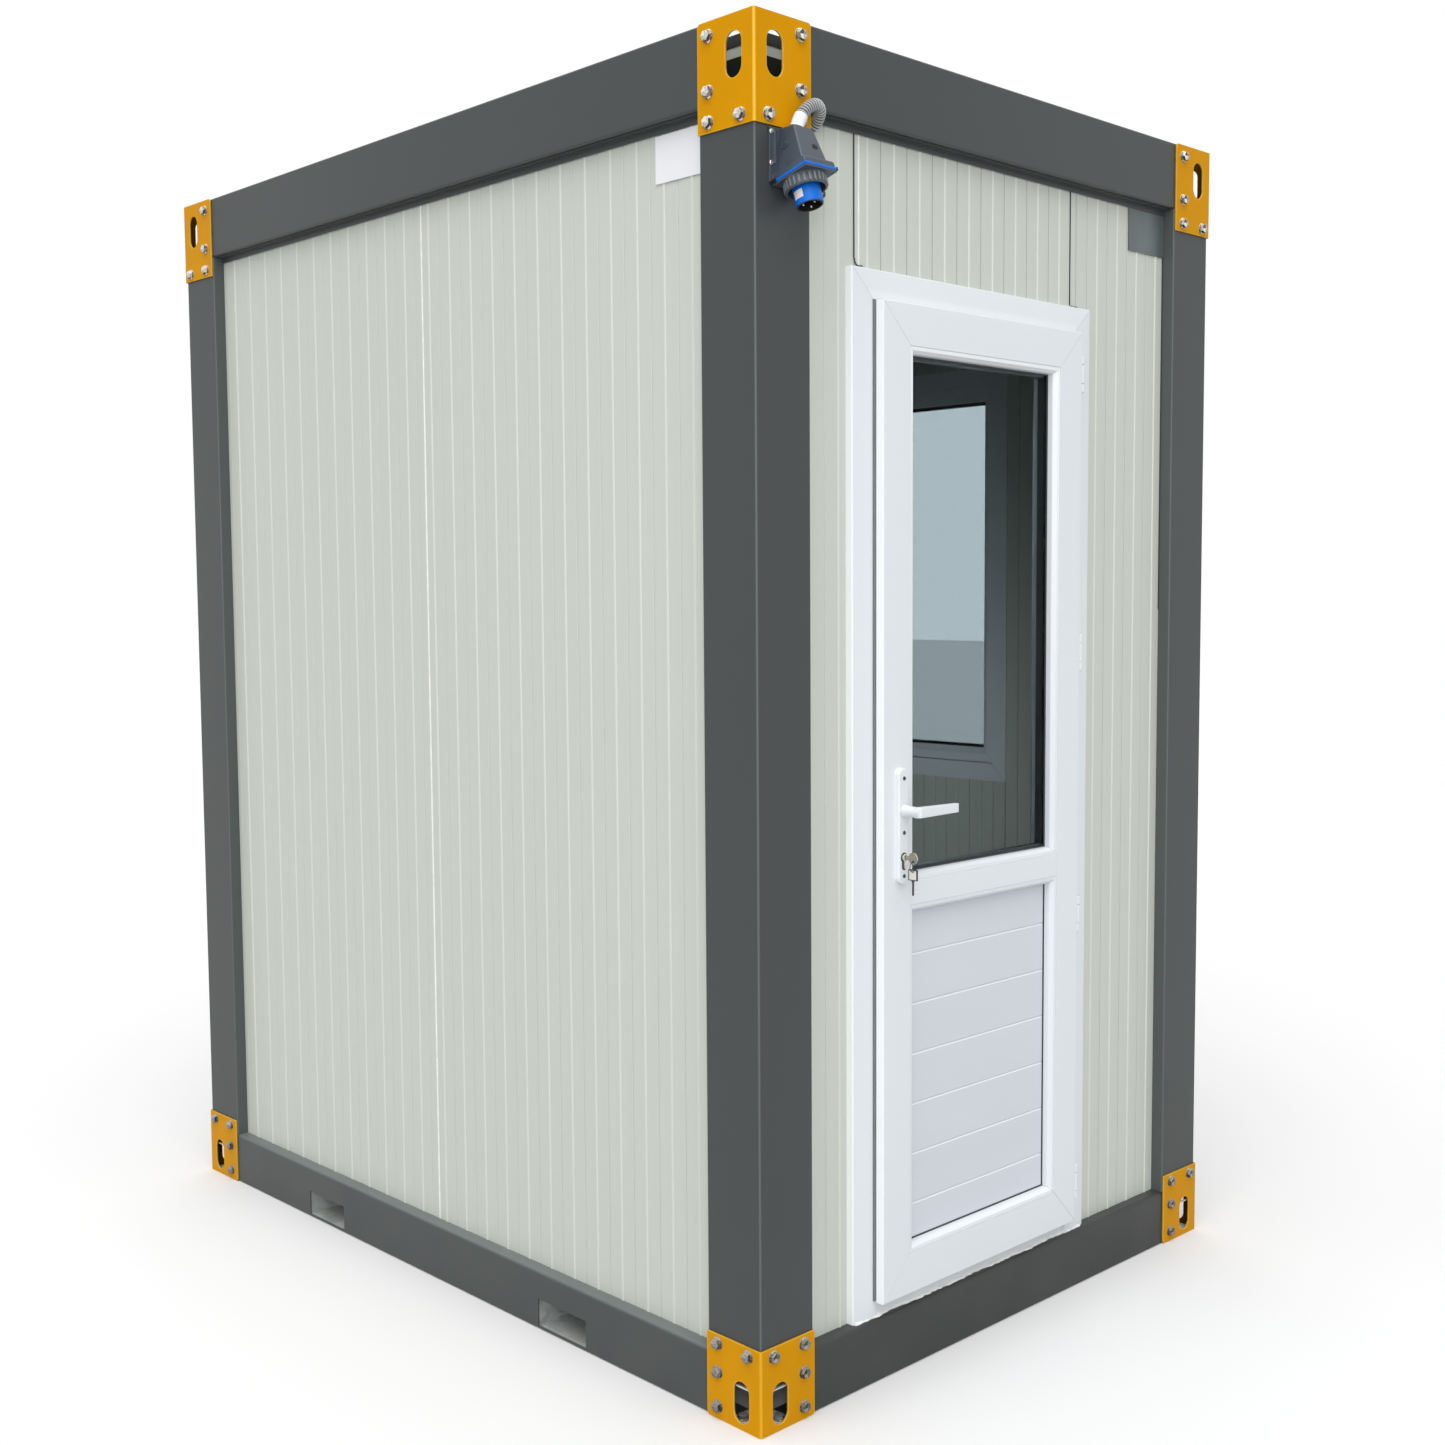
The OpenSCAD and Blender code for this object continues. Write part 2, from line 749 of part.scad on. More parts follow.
// Lever on one side of the door: neck, and grip towards the hinges
module lever(side) {
    base_y = side < 0 ? plate_face_y - seat_gap : plate_back_y + seat_gap;
    neck_l = lever_reach - lever_t / 2;
    tip_h = lever_h * lever_tip_share;
    grip_y = base_y + side * (lever_reach - lever_t / 2);
    translate([handle_x, base_y, spindle_z])
        rotate([side < 0 ? 90 : -90, 0, 0])
            cylinder(r = neck_r, h = neck_l);
    translate([handle_x, grip_y + lever_t / 2, spindle_z])
        rotate([90, 0, 0])
            linear_extrude(height = lever_t)
                polygon([[0, -neck_r], [neck_r, -neck_r], [2 * neck_r, -lever_h / 2], [lever_l, -tip_h / 2],
                         [lever_l, tip_h / 2], [2 * neck_r, lever_h / 2], [neck_r, neck_r], [0, neck_r]]);
    translate([handle_x, grip_y + lever_t / 2, spindle_z])
        rotate([90, 0, 0])
            cylinder(r = neck_r, h = lever_t);
}

module lever_handles() {
    color(door_white)
        union() {
            lever(-1);
            lever(1);
            translate([handle_x, plate_back_y + neck_r, spindle_z])
                rotate([90, 0, 0])
                    cylinder(r = spindle_r, h = plate_back_y - plate_face_y + 2 * neck_r);
        }
}

// Ring of the window between two insets from the opening, and between two depths along X
module window_ring(outer, inner, x0, x1) {
    half = window_w / 2;
    difference() {
        span([x0, outer - half, window_sill_z + outer], [x1, half - outer, window_top_z - outer]);
        span([x0 - cut, inner - half, window_sill_z + inner],
             [x1 + cut, half - inner, window_top_z - inner]);
    }
}

module window_frame() {
    casement_x = window_out_x - casement_step;
    color(door_white)
        union() {
            window_ring(-trim_lap, window_frame_w, wall_out_x, window_out_x);
            window_ring(0, window_frame_w, wall_in_x, wall_out_x);
            window_ring(window_frame_w, glass_inset, casement_x - casement_d, casement_x);
        }
}

module window_glass() {
    half = window_w / 2 - glass_inset;
    mid_x = window_out_x - casement_step - casement_d / 2;
    color(glass_tint)
        span([mid_x - glazing_t / 2, -half, window_sill_z + glass_inset],
             [mid_x + glazing_t / 2, half, window_top_z - glass_inset]);
}

// Frame of the inlet's mouth: origin at its inner edge on the post, +Y outwards up the slope, +Z down
module at_mouth() {
    translate([inlet_x, -frame_y, inlet_mouth_z])
        rotate([180 - inlet_tilt, 0, 0])
            children();
}

// Room in front of the post, which the sloping pieces of the inlet are cut to
module before_post() {
    span([inlet_x - inlet_mouth_w, -frame_y - 2 * inlet_mouth_d, inlet_mouth_z - inlet_mouth_d],
         [inlet_x + inlet_mouth_w, -frame_y, inlet_top_z]);
}

module inlet_housing() {
    half_top = inlet_top_w / 2;
    half_back = inlet_back_w / 2;
    back_z = inlet_mouth_z + inlet_back_t * tan(inlet_tilt);
    color(inlet_grey)
        union() {
            hull() {
                translate([inlet_x - half_top, -frame_y - inlet_top_d, inlet_top_z - inlet_back_t])
                    cube([inlet_top_w, inlet_top_d, inlet_back_t]);
                intersection() {
                    at_mouth()
                        translate([-inlet_mouth_w / 2, 0, -inlet_rim_t])
                            cube([inlet_mouth_w, inlet_mouth_d, inlet_rim_t]);
                    before_post();
                }
            }
            span([inlet_x - half_back, -frame_y - inlet_back_t, back_z],
                 [inlet_x + half_back, -frame_y, inlet_top_z]);
        }
}

module inlet_gasket() {
    color(inlet_blue)
        intersection() {
            at_mouth()
                translate([-inlet_mouth_w / 2 - gasket_t / 2, 0, 0])
                    cube([inlet_mouth_w + gasket_t, inlet_mouth_d + gasket_t / 2, gasket_t]);
            before_post();
        }
}

module inlet_ring() {
    color(inlet_grey)
        at_mouth()
            translate([0, inlet_mouth_d / 2, gasket_t])
                difference() {
                    cylinder(r = bayonet_r, h = bayonet_l);
                    translate([0, 0, -cut])
                        cylinder(r = bayonet_r - bayonet_t, h = bayonet_l + 2 * cut);
                }
}

module inlet_plug() {
    color(inlet_blue)
        at_mouth()
            translate([0, inlet_mouth_d / 2, gasket_t])
                union() {
                    difference() {
                        cylinder(r = sleeve_r, h = sleeve_l);
                        translate([0, 0, sleeve_l - recess_d])
                            cylinder(r = sleeve_r - sleeve_t, h = recess_d + cut);
                    }
                    for (a = [0, 120, 240])
                        rotate([0, 0, a])
                            translate([0, contact_circle_r, sleeve_l - recess_d])
                                cylinder(r = contact_r, h = recess_d);
                }
}

// Direction of a route at point i, from its neighbours
function step(route, i) =
    let (a = route[max(i - 1, 0)], b = route[min(i + 1, len(route) - 1)])
    (b - a) / norm(b - a);

// Ring of points round point i of a route, square to it
function route_ring(route, i, r, sides) =
    let (d = step(route, i),
         u0 = cross(d, [1, 0, 0]),
         u = u0 / norm(u0),
         v = cross(d, u))
    [for (k = [0 : sides - 1])
        let (a = 360 * k / sides)
        route[i] + r * (u * cos(a) + v * sin(a))];

// Tube along a route
module route_tube(route, r, sides) {
    n = len(route);
    rings = [for (i = [0 : n - 1]) each route_ring(route, i, r, sides)];
    side_faces = [for (i = [0 : n - 2], k = [0 : sides - 1])
        let (a = i * sides, b = a + sides, j = (k + 1) % sides)
        each [[a + k, b + k, b + j], [a + k, b + j, a + j]]];
    start_face = [for (k = [0 : sides - 1]) k];
    end_face = [for (k = [sides - 1 : -1 : 0]) (n - 1) * sides + k];
    polyhedron(rings, concat([start_face], side_faces, [end_face]));
}

module inlet_conduit() {
    color(conduit_grey)
        translate([inlet_x, gland_y, 0]) {
            translate([0, 0, inlet_top_z])
                cylinder(r = gland_r, h = gland_h);
            translate([0, 0, conduit_z])
                route_tube(conduit_route, conduit_d / 2, conduit_sides);
        }
}

module top_front_beam() {
    color(frame_grey)
        union() {
            along_front(front_beam_l) top_section();
            along_front(2 * (frame_x - post_w)) drip_section();
        }
}

module top_left_beam() {
    color(frame_grey)
        union() {
            along_left(side_beam_l) top_section();
            along_left(2 * (frame_y - post_w)) drip_section();
        }
}

module base_front_beam() { color(frame_grey) along_front(front_beam_l) base_section(); }
module base_back_beam() { mirror([0, 1, 0]) base_front_beam(); }
module base_left_beam() { side_base_beam(); }
module base_right_beam() { mirror([1, 0, 0]) side_base_beam(); }
module top_back_beam() { mirror([0, 1, 0]) top_front_beam(); }
module top_right_beam() { mirror([1, 0, 0]) top_left_beam(); }
module front_left_post() { corner_post(-1, -1); }
module front_right_post() { corner_post(1, -1); }
module back_left_post() { corner_post(-1, 1); }
module back_right_post() { corner_post(1, 1); }
module front_base_plates() { for (s = [-1, 1]) base_plate(s, -1); }
module back_base_plates() { for (s = [-1, 1]) base_plate(s, 1); }
module front_top_plates() { for (s = [-1, 1]) top_plate(s, -1); }
module back_top_plates() { for (s = [-1, 1]) top_plate(s, 1); }
module left_wall_front_panel() { side_panel(-1, -wall_in_y, left_seam_y, base_beam_h, top_beam_z); }
module left_wall_back_panel() { side_panel(-1, left_seam_y, wall_in_y, base_beam_h, top_beam_z); }
module right_wall_front() { side_panel(1, -wall_in_y, -window_w / 2, base_beam_h, top_beam_z); }
module right_wall_back() { side_panel(1, window_w / 2, wall_in_y, base_beam_h, top_beam_z); }
module right_wall_under_window() { side_panel(1, -window_w / 2, window_w / 2, base_beam_h, window_sill_z); }
module right_wall_over_window() { side_panel(1, -window_w / 2, window_w / 2, window_top_z, top_beam_z); }
module front_wall_left() { front_panel(-wall_out_x, opening_x0, base_beam_h); }
module front_wall_right() { front_panel(opening_x1, wall_out_x, base_beam_h); }
module front_wall_over_door() { front_panel(opening_x0, opening_x1, opening_top_z); }

base_front_beam();
base_back_beam();
base_left_beam();
base_right_beam();
fork_ducts();
floor_joist();
floor_panel();
front_left_post();
front_right_post();
back_left_post();
back_right_post();
top_front_beam();
top_back_beam();
top_left_beam();
top_right_beam();
roof_panel();
front_base_plates();
back_base_plates();
front_top_plates();
back_top_plates();
left_wall_front_panel();
left_wall_back_panel();
back_wall();
right_wall_front();
right_wall_back();
right_wall_under_window();
right_wall_over_window();
front_wall_left();
front_wall_right();
front_wall_over_door();
door_frame();
window_frame();
window_glass();
inlet_housing();
inlet_gasket();
inlet_ring();
inlet_plug();
inlet_conduit();
door_leaf();
door_glass();
door_infill();
door_hinges();
handle_plates();
lock_and_keys();
lever_handles();
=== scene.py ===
"""Looks of a security booth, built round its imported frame.

Run as a script it makes every piece and the stage. It is laid out as an add-on, so the same steps
are listed in the sidebar's Booth tab.
"""

import math
import random

import bmesh
import bpy
from bpy.props import FloatProperty, FloatVectorProperty, PointerProperty
from mathutils import Matrix, Vector


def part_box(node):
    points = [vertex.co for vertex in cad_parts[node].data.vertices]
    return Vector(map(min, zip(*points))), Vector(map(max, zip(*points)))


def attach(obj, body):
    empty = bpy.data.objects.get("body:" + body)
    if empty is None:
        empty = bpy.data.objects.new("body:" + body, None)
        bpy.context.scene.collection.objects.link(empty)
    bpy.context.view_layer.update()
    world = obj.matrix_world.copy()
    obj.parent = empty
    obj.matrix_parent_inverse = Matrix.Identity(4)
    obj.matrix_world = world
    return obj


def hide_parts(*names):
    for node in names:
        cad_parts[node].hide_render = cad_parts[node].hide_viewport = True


bl_info = {
    "name": "Security Booth",
    "version": (1, 0, 0),
    "blender": (4, 5, 0),
    "location": "3D View > Sidebar > Booth",
    "description": "Finishes a security booth round its packed frame",
    "category": "Object",
}

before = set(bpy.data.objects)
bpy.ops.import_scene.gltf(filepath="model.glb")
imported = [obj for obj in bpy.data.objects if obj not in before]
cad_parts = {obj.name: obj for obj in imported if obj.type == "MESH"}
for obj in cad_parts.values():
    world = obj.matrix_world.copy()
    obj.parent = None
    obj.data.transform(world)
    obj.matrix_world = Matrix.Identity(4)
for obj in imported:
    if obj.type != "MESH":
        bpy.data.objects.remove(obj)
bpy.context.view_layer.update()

MM = 0.001
X = Vector((1, 0, 0))
Y = Vector((0, 1, 0))
Z = Vector((0, 0, 1))

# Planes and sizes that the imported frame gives, in metres
POST_LOW, POST_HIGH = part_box("front_left_post")
FRAME_X = -POST_LOW.x
FRAME_Y = -POST_LOW.y
POST_W = POST_HIGH.x - POST_LOW.x
BASE_TOP = POST_LOW.z
ROOF_LOW = POST_HIGH.z
PLATE_LOW, PLATE_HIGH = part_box("front_top_plates")
PLATE_X = PLATE_HIGH.x
PLATE_Y = -PLATE_LOW.y
TOP = PLATE_HIGH.z
PLATE_T = PLATE_X - FRAME_X
PLATE_W = PLATE_HIGH.y - PLATE_LOW.y
TOP_PLATE_Z = PLATE_LOW.z
BASE_PLATE_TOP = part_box("front_base_plates")[1].z
LEFT_LOW, LEFT_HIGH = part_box("left_wall_front_panel")
WALL_X = -LEFT_LOW.x
WALL_Y = -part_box("front_wall_left")[0].y
PANEL_T = LEFT_HIGH.x - LEFT_LOW.x
REVEAL = FRAME_X - WALL_X
BEAM_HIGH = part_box("base_front_beam")[1]
SIDE_BEAM_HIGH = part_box("base_left_beam")[1]
FRONT_LOW, FRONT_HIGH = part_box("door_frame")
LEAF_LOW, LEAF_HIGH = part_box("door_leaf")
GLASS_LOW, GLASS_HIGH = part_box("door_glass")
INFILL_LOW, INFILL_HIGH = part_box("door_infill")
HANDLE_LOW, HANDLE_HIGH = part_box("handle_plates")
LEVER_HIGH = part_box("lever_handles")[1]

# Sheet sizes of the frame
SHEET = 3 * MM
BASE_FLANGE = 60 * MM
WALL_FLANGE = REVEAL + PANEL_T
ROOF_FLANGE = WALL_FLANGE + 10 * MM
GUTTER_FLANGE = 40 * MM
DRIP_H = 14 * MM
SLOT_W = 41 * MM
SLOT_H = 80 * MM
SLOT_INSET = 31 * MM
FORK_W = 158 * MM
FORK_H = 58 * MM
FORK_Y = 462 * MM
FORK_Z = 7 * MM

CORNERS = {
    "front_left": (-1, -1),
    "front_right": (1, -1),
    "back_left": (-1, 1),
    "back_right": (1, 1),
}
# Each side's direction along its wall, and inwards
SIDES = {
    "front": (X, Y),
    "back": (-X, -Y),
    "left": (-Y, X),
    "right": (Y, -X),
}


def linear(red, green, blue):
    """Scene colour of a screen colour given as 0 to 255."""
    values = []
    for part in (red, green, blue):
        part = part / 255
        values.append(part / 12.92 if part <= 0.04045 else ((part + 0.055) / 1.055) ** 2.4)
    return tuple(values)


def screen_tint(*screen):
    """Shader colour, with its alpha, of a screen colour."""
    return (*linear(*screen), 1.0)


def length(name, description, value):
    """Length property in metres, whose default is given in millimetres."""
    return FloatProperty(name=name, description=description, default=value * MM, min=0.0,
                         precision=4, subtype="DISTANCE", unit="LENGTH")


def colour(name, description, *screen):
    """Colour property whose default is a screen colour."""
    return FloatVectorProperty(name=name, description=description, default=linear(*screen),
                               min=0.0, max=1.0, size=3, subtype="COLOR")


class BoothSizes(bpy.types.PropertyGroup):
    """Sizes of the details that the looks add to the frame."""
    rib_pitch: length("Rib pitch", "Distance between the ribs of a wall panel", 76.7)
    rib_top: length("Rib top", "Width of a rib's flat top", 3.2)
    rib_flank: length("Rib flank", "Width of a rib's sloping side", 1.6)
    rib_height: length("Rib height", "How far a rib stands out", 1.8)
    groove_width: length("Groove width", "Width of the groove between two ribs", 4)
    groove_depth: length("Groove depth", "Depth of the groove between two ribs", 1.8)
    post_fold: length("Post fold", "Radius of the posts' folds", 4)
    base_fold: length("Floor beam fold", "Radius of the floor beams' upper fold", 9)
    roof_fold: length("Roof beam fold", "Radius of the roof beams' folds", 5)
    plate_fold: length("Plate fold", "Radius of the corner plates' fold", 5)
    bolt_head: length("Bolt head", "Radius of a bolt's hexagon", 10.6)
    bolt_flange: length("Bolt flange", "Radius of a bolt's flange", 12.4)
    bead_width: length("Bead width", "Width of the glazing beads", 15)
    mitre_gap: length("Mitre gap", "Half the gap of a mitred corner", 0.45)
    plank_pitch: length("Plank pitch", "Height of the planks in the door's infill", 101)
    ring_pitch: length("Conduit pitch", "Distance between the conduit's rings", 5.8)


class BoothColours(bpy.types.PropertyGroup):
    """Colours of the finishes."""
    frame_paint: colour("Frame paint", "Posts and beams", 63, 67, 67)
    panel_skin: colour("Panel skin", "Coated skin of the wall panels", 198, 203, 195)
    plate_paint: colour("Plate paint", "Bent corner plates", 210, 146, 0)
    upvc: colour("Door plastic", "Door, its frame and the window", 223, 228, 232)
    infill: colour("Infill", "Planked panel of the door", 209, 214, 222)
    glass: colour("Glass tint", "Tint of the glazing", 217, 222, 224)
    rubber: colour("Rubber", "Glazing seals and seam lines", 62, 66, 68)
    zinc: colour("Zinc", "Bolts of the corners", 196, 196, 192)
    galvanised: colour("Galvanised steel", "Fork ducts and joist", 172, 178, 177)
    nickel: colour("Nickel", "Lock, inlet screws and contact pins", 205, 204, 198)
    key_metal: colour("Key metal", "Bow of the key in the lock", 172, 165, 152)
    dark_steel: colour("Dark steel", "Handle screws, key ring and key shank", 74, 76, 80)
    tag: colour("Tag", "Bow of the hanging key and the bare sticker", 222, 218, 210)
    inlet_grey: colour("Inlet grey", "Housing of the power inlet", 62, 71, 82)
    inlet_blue: colour("Inlet blue", "Plug and gasket of the power inlet", 0, 106, 206)
    inlet_ring: colour("Inlet ring", "Ribbed ring of the power inlet", 78, 83, 89)
    inlet_black: colour("Inlet black", "Inside of the plug and round the lock", 24, 25, 27)
    conduit: colour("Conduit", "Corrugated conduit", 56, 59, 61)
    vinyl: colour("Floor", "Floor covering", 164, 167, 163)
    sealant: colour("Sealant", "Sealant under the door", 240, 240, 238)
    label: colour("Bare label", "Blank label on the long wall", 234, 236, 240)
    dull_plate: colour("Bare plate", "Blank plate beside the door", 92, 102, 103)
    floor: colour("Stage floor", "Pale floor of the stage", 227, 227, 227)


def sizes():
    """The scene's sizes."""
    return bpy.context.scene.booth_sizes


def tone(name):
    """One of the scene's colours, with its alpha."""
    return (*getattr(bpy.context.scene.booth_colours, name), 1.0)


def shaded(tint, factor):
    """A colour made lighter or darker."""
    return (*(min(1.0, part * factor) for part in tint[:3]), 1.0)


# Shader nodes

def add_node(tree, kind, inputs=None, **settings):
    """Adds a node, sets its settings, and fills or links its inputs."""
    node = tree.nodes.new(kind)
    for name, value in settings.items():
        setattr(node, name, value)
    for name, value in (inputs or {}).items():
        if isinstance(value, bpy.types.NodeSocket):
            tree.links.new(value, node.inputs[name])
        else:
            node.inputs[name].default_value = value
    return node


def calculate(tree, operation, *values):
    """Result of a calculation with varying values and plain numbers."""
    return add_node(tree, "ShaderNodeMath", dict(enumerate(values)), operation=operation).outputs[0]


def ranged(tree, value, from_min=0.0, from_max=1.0, to_min=0.0, to_max=1.0):
    """A varying value, brought from one range into another and kept inside it."""
    ends = {"From Min": from_min, "From Max": from_max, "To Min": to_min, "To Max": to_max}
    return add_node(tree, "ShaderNodeMapRange", {"Value": value, **ends}).outputs[0]


def object_spot(tree):
    """Object coordinates of the point that is shaded."""
    return add_node(tree, "ShaderNodeTexCoord").outputs["Object"]


def surface_normal(tree):
    """Direction in which the surface faces."""
    return add_node(tree, "ShaderNodeNewGeometry").outputs["Normal"]


def upward(tree, vector):
    """The part of a vector along Z."""
    return add_node(tree, "ShaderNodeSeparateXYZ", {0: vector}).outputs["Z"]


def noise(tree, spot, scale, detail):
    """Noise over a surface."""
    return add_node(tree, "ShaderNodeTexNoise", {"Vector": spot, "Scale": scale, "Detail": detail}).outputs[0]


def add_group(name, inputs, output):
    """New shader node group with float or vector inputs and one float output."""
    group = bpy.data.node_groups.new(name, "ShaderNodeTree")
    for label, kind, value in inputs:
        socket = group.interface.new_socket(label, in_out="INPUT", socket_type=kind)
        socket.default_value = value
    group.interface.new_socket(output, in_out="OUTPUT", socket_type="NodeSocketFloat")
    start = group.nodes.new("NodeGroupInput")
    end = group.nodes.new("NodeGroupOutput")
    return group, start.outputs, end.inputs[output]


def mottle_group():
    """Soft uneven value over a surface, which can be stretched along an axis."""
    found = bpy.data.node_groups.get("Mottle")
    if found:
        return found
    group, given, value = add_group("Mottle", [
        ("Scale", "NodeSocketFloat", 8.0),
        ("Stretch", "NodeSocketVector", (1.0, 1.0, 1.0)),
    ], "Value")
    spread = add_node(group, "ShaderNodeVectorMath", {0: object_spot(group), 1: given["Stretch"]},
                      operation="MULTIPLY").outputs[0]
    group.links.new(ranged(group, noise(group, spread, given["Scale"], 4.0), 0.3, 0.7), value)
    return group


def dust_group():
    """Mask of settled dust: on what faces up, and near the ground."""
    found = bpy.data.node_groups.get("Dust")
    if found:
        return found
    group, given, mask = add_group("Dust", [
        ("Height", "NodeSocketFloat", 0.4),
        ("Scale", "NodeSocketFloat", 7.0),
    ], "Mask")
    spot = object_spot(group)
    low = ranged(group, upward(group, spot), 0.0, given["Height"], 0.6, 0.0)
    flat = ranged(group, upward(group, surface_normal(group)), 0.5, 1.0)
    patch = ranged(group, noise(group, spot, given["Scale"], 6.0), 0.35, 0.7)
    group.links.new(calculate(group, "MULTIPLY", calculate(group, "MAXIMUM", low, flat), patch), mask)
    return group


def edge_group():
    """Mask of the edges, where paint is thin or rubbed and a painted highlight is laid, broken up by noise.
    """
    found = bpy.data.node_groups.get("Edge wear")
    if found:
        return found
    group, given, mask = add_group("Edge wear", [
        ("Radius", "NodeSocketFloat", 0.003),
        ("Scale", "NodeSocketFloat", 60.0),
    ], "Mask")
    rounded = add_node(group, "ShaderNodeBevel", {"Radius": given["Radius"]}, samples=4).outputs[0]
    same = add_node(group, "ShaderNodeVectorMath", {0: rounded, 1: surface_normal(group)},
                    operation="DOT_PRODUCT").outputs["Value"]
    edge = ranged(group, same, 0.99, 0.85)
    patch = ranged(group, noise(group, object_spot(group), given["Scale"], 3.0), 0.2, 0.5)
    group.links.new(calculate(group, "MULTIPLY", edge, patch), mask)
    return group


def place_group(tree, group, **values):
    """Puts a node group in a material, with its own values, and gives back its output."""
    inputs = {name.capitalize(): value for name, value in values.items()}
    return add_node(tree, "ShaderNodeGroup", inputs, node_tree=group).outputs[0]


def blend(tree, factor, first, second):
    """Mixes two colours by a factor that varies over the surface."""
    colours = {"Factor": factor, 6: first, 7: second}
    return add_node(tree, "ShaderNodeMix", colours, data_type="RGBA").outputs[2]


def marked(tree, name):
    """A value that the mesh's own points carry."""
    return add_node(tree, "ShaderNodeAttribute", attribute_name=name).outputs["Fac"]


def set_gloss(tree, shader, value, low, high):
    """Roughness that follows a varying value."""
    tree.links.new(ranged(tree, value, to_min=low, to_max=high), shader.inputs["Roughness"])


def set_grain(tree, shader, scale, depth, stretch=(1, 1, 1)):
    """Fine grain that the light catches."""
    fine = place_group(tree, mottle_group(), scale=scale, stretch=stretch)
    bump = add_node(tree, "ShaderNodeBump", {"Height": fine, "Strength": depth, "Distance": 0.001})
    tree.links.new(bump.outputs[0], shader.inputs["Normal"])


def new_material(name):
    """Empty material with its shader, or the one of that name and no shader."""
    found = bpy.data.materials.get(name)
    if found:
        return found, None, None
    made = bpy.data.materials.new(name)
    made.use_nodes = True
    return made, made.node_tree, made.node_tree.nodes["Principled BSDF"]


DUST_TONE = screen_tint(176, 172, 160)


def coat(name, tint, roughness, vary=0.06, scale=5.0, stretch=(1, 1, 1), grain=700.0,
         grain_stretch=(1, 1, 1), grain_depth=0.06, dust=0.0, edge_wear_and_highlight=0.0, edge_wear_and_highlight_tint=None, painted_light_tint=None,
         painted_shade_tint=None, specular=0.5):
    """Painted, coated or moulded finish: mottled colour and gloss, grain, dust, thin paint and a painted
    highlight at edges, a lighter tint of painted light where the mesh is marked for it, and painted shade
    where it is marked as a lining."""
    made, tree, shader = new_material(name)
    if tree is None:
        return made
    mottle = place_group(tree, mottle_group(), scale=scale, stretch=stretch)
    base = blend(tree, mottle, shaded(tint, 1 - vary), shaded(tint, 1 + vary / 2))
    # Points marked for painted light take a lighter tint, and a plate's inner side marked as a lining takes
    # painted shade
    for mark, other_tint in (("painted_light", painted_light_tint), ("lining", painted_shade_tint)):
        if other_tint:
            base = blend(tree, marked(tree, mark), base, other_tint)
    # Dust is settled dust; the edge tint is partly thin paint and partly a painted highlight
    for share, group, other_tint in ((dust, dust_group, DUST_TONE), (edge_wear_and_highlight, edge_group, edge_wear_and_highlight_tint)):
        if share:
            mask = calculate(tree, "MULTIPLY", place_group(tree, group()), share)
            base = blend(tree, mask, base, other_tint)
    tree.links.new(base, shader.inputs["Base Color"])
    set_gloss(tree, shader, mottle, roughness - 0.05, roughness + 0.06)
    set_grain(tree, shader, grain, grain_depth, grain_stretch)
    shader.inputs["Specular IOR Level"].default_value = specular
    return made


def metal(name, tint, low, high, scale=40.0, stretch=(1, 1, 1)):
    """Bare or plated metal with uneven gloss and fine tool marks."""
    made, tree, shader = new_material(name)
    if tree is None:
        return made
    mottle = place_group(tree, mottle_group(), scale=scale, stretch=stretch)
    tree.links.new(blend(tree, mottle, shaded(tint, 0.8), shaded(tint, 1.08)), shader.inputs["Base Color"])
    set_gloss(tree, shader, mottle, low, high)
    set_grain(tree, shader, 1500.0, 0.05)
    shader.inputs["Metallic"].default_value = 1.0
    return made


def frame_paint(name="Frame paint", share=1.0):
    """Satin dark grey paint of the posts and beams, thin at the edges with a painted highlight there, and
    with a lighter tint of painted light where folds and other faces are marked.
    """
    tint = shaded(tone("frame_paint"), share)
    return coat(name, tint, 0.36, vary=0.03, scale=2.0, stretch=(1, 1, 0.4), grain=520.0,
                grain_depth=0.03, dust=0.05, edge_wear_and_highlight=0.3, edge_wear_and_highlight_tint=shaded(tint, 2.0),
                painted_light_tint=shaded(tint, 2.5), specular=0.3)


def panel_skin():
    """Coated steel skin, with a painted highlight along the ribs and painted shade down in the grooves and
    seams.
    """
    made, tree, shader = new_material("Panel skin")
    if tree is None:
        return made
    tint = tone("panel_skin")
    mottle = place_group(tree, mottle_group(), scale=1.6, stretch=(1, 1, 0.25))
    base = blend(tree, mottle, shaded(tint, 0.985), shaded(tint, 1.01))
    relief = marked(tree, "relief")
    # Painted highlight along the ribs
    crest = ranged(tree, relief, to_max=0.65)
    base = blend(tree, crest, base, shaded(tint, 1.16))
    # Painted shade down in the grooves and seams
    groove = ranged(tree, relief, from_max=-1.0, to_max=0.9)
    base = blend(tree, groove, base, shaded(tint, 0.25))
    dust = calculate(tree, "MULTIPLY", place_group(tree, dust_group(), height=0.5), 0.08)
    tree.links.new(blend(tree, dust, base, DUST_TONE), shader.inputs["Base Color"])
    set_gloss(tree, shader, mottle, 0.38, 0.46)
    set_grain(tree, shader, 900.0, 0.03)
    shader.inputs["Specular IOR Level"].default_value = 0.35
    return made


def plate_paint():
    """Deep yellow paint, thin and pale along the plates' edges, with a painted highlight on their edges and
    fold and painted shade on their inner side.
    """
    tint = tone("plate_paint")
    return coat("Plate paint", tint, 0.4, vary=0.04, scale=9.0, grain=420.0, grain_depth=0.04, dust=0.02,
                edge_wear_and_highlight=0.6, edge_wear_and_highlight_tint=screen_tint(250, 204, 92), painted_light_tint=screen_tint(250, 200, 84),
                painted_shade_tint=shaded(tint, 0.12), specular=0.06)


def upvc():
    """White door plastic, with a lighter tint of painted light where the mesh is marked for it."""
    return coat("Door plastic", tone("upvc"), 0.32, vary=0.012, scale=2.5, stretch=(1, 1, 0.3),
                grain=900.0, grain_depth=0.01, painted_light_tint=screen_tint(250, 252, 253), specular=0.35)


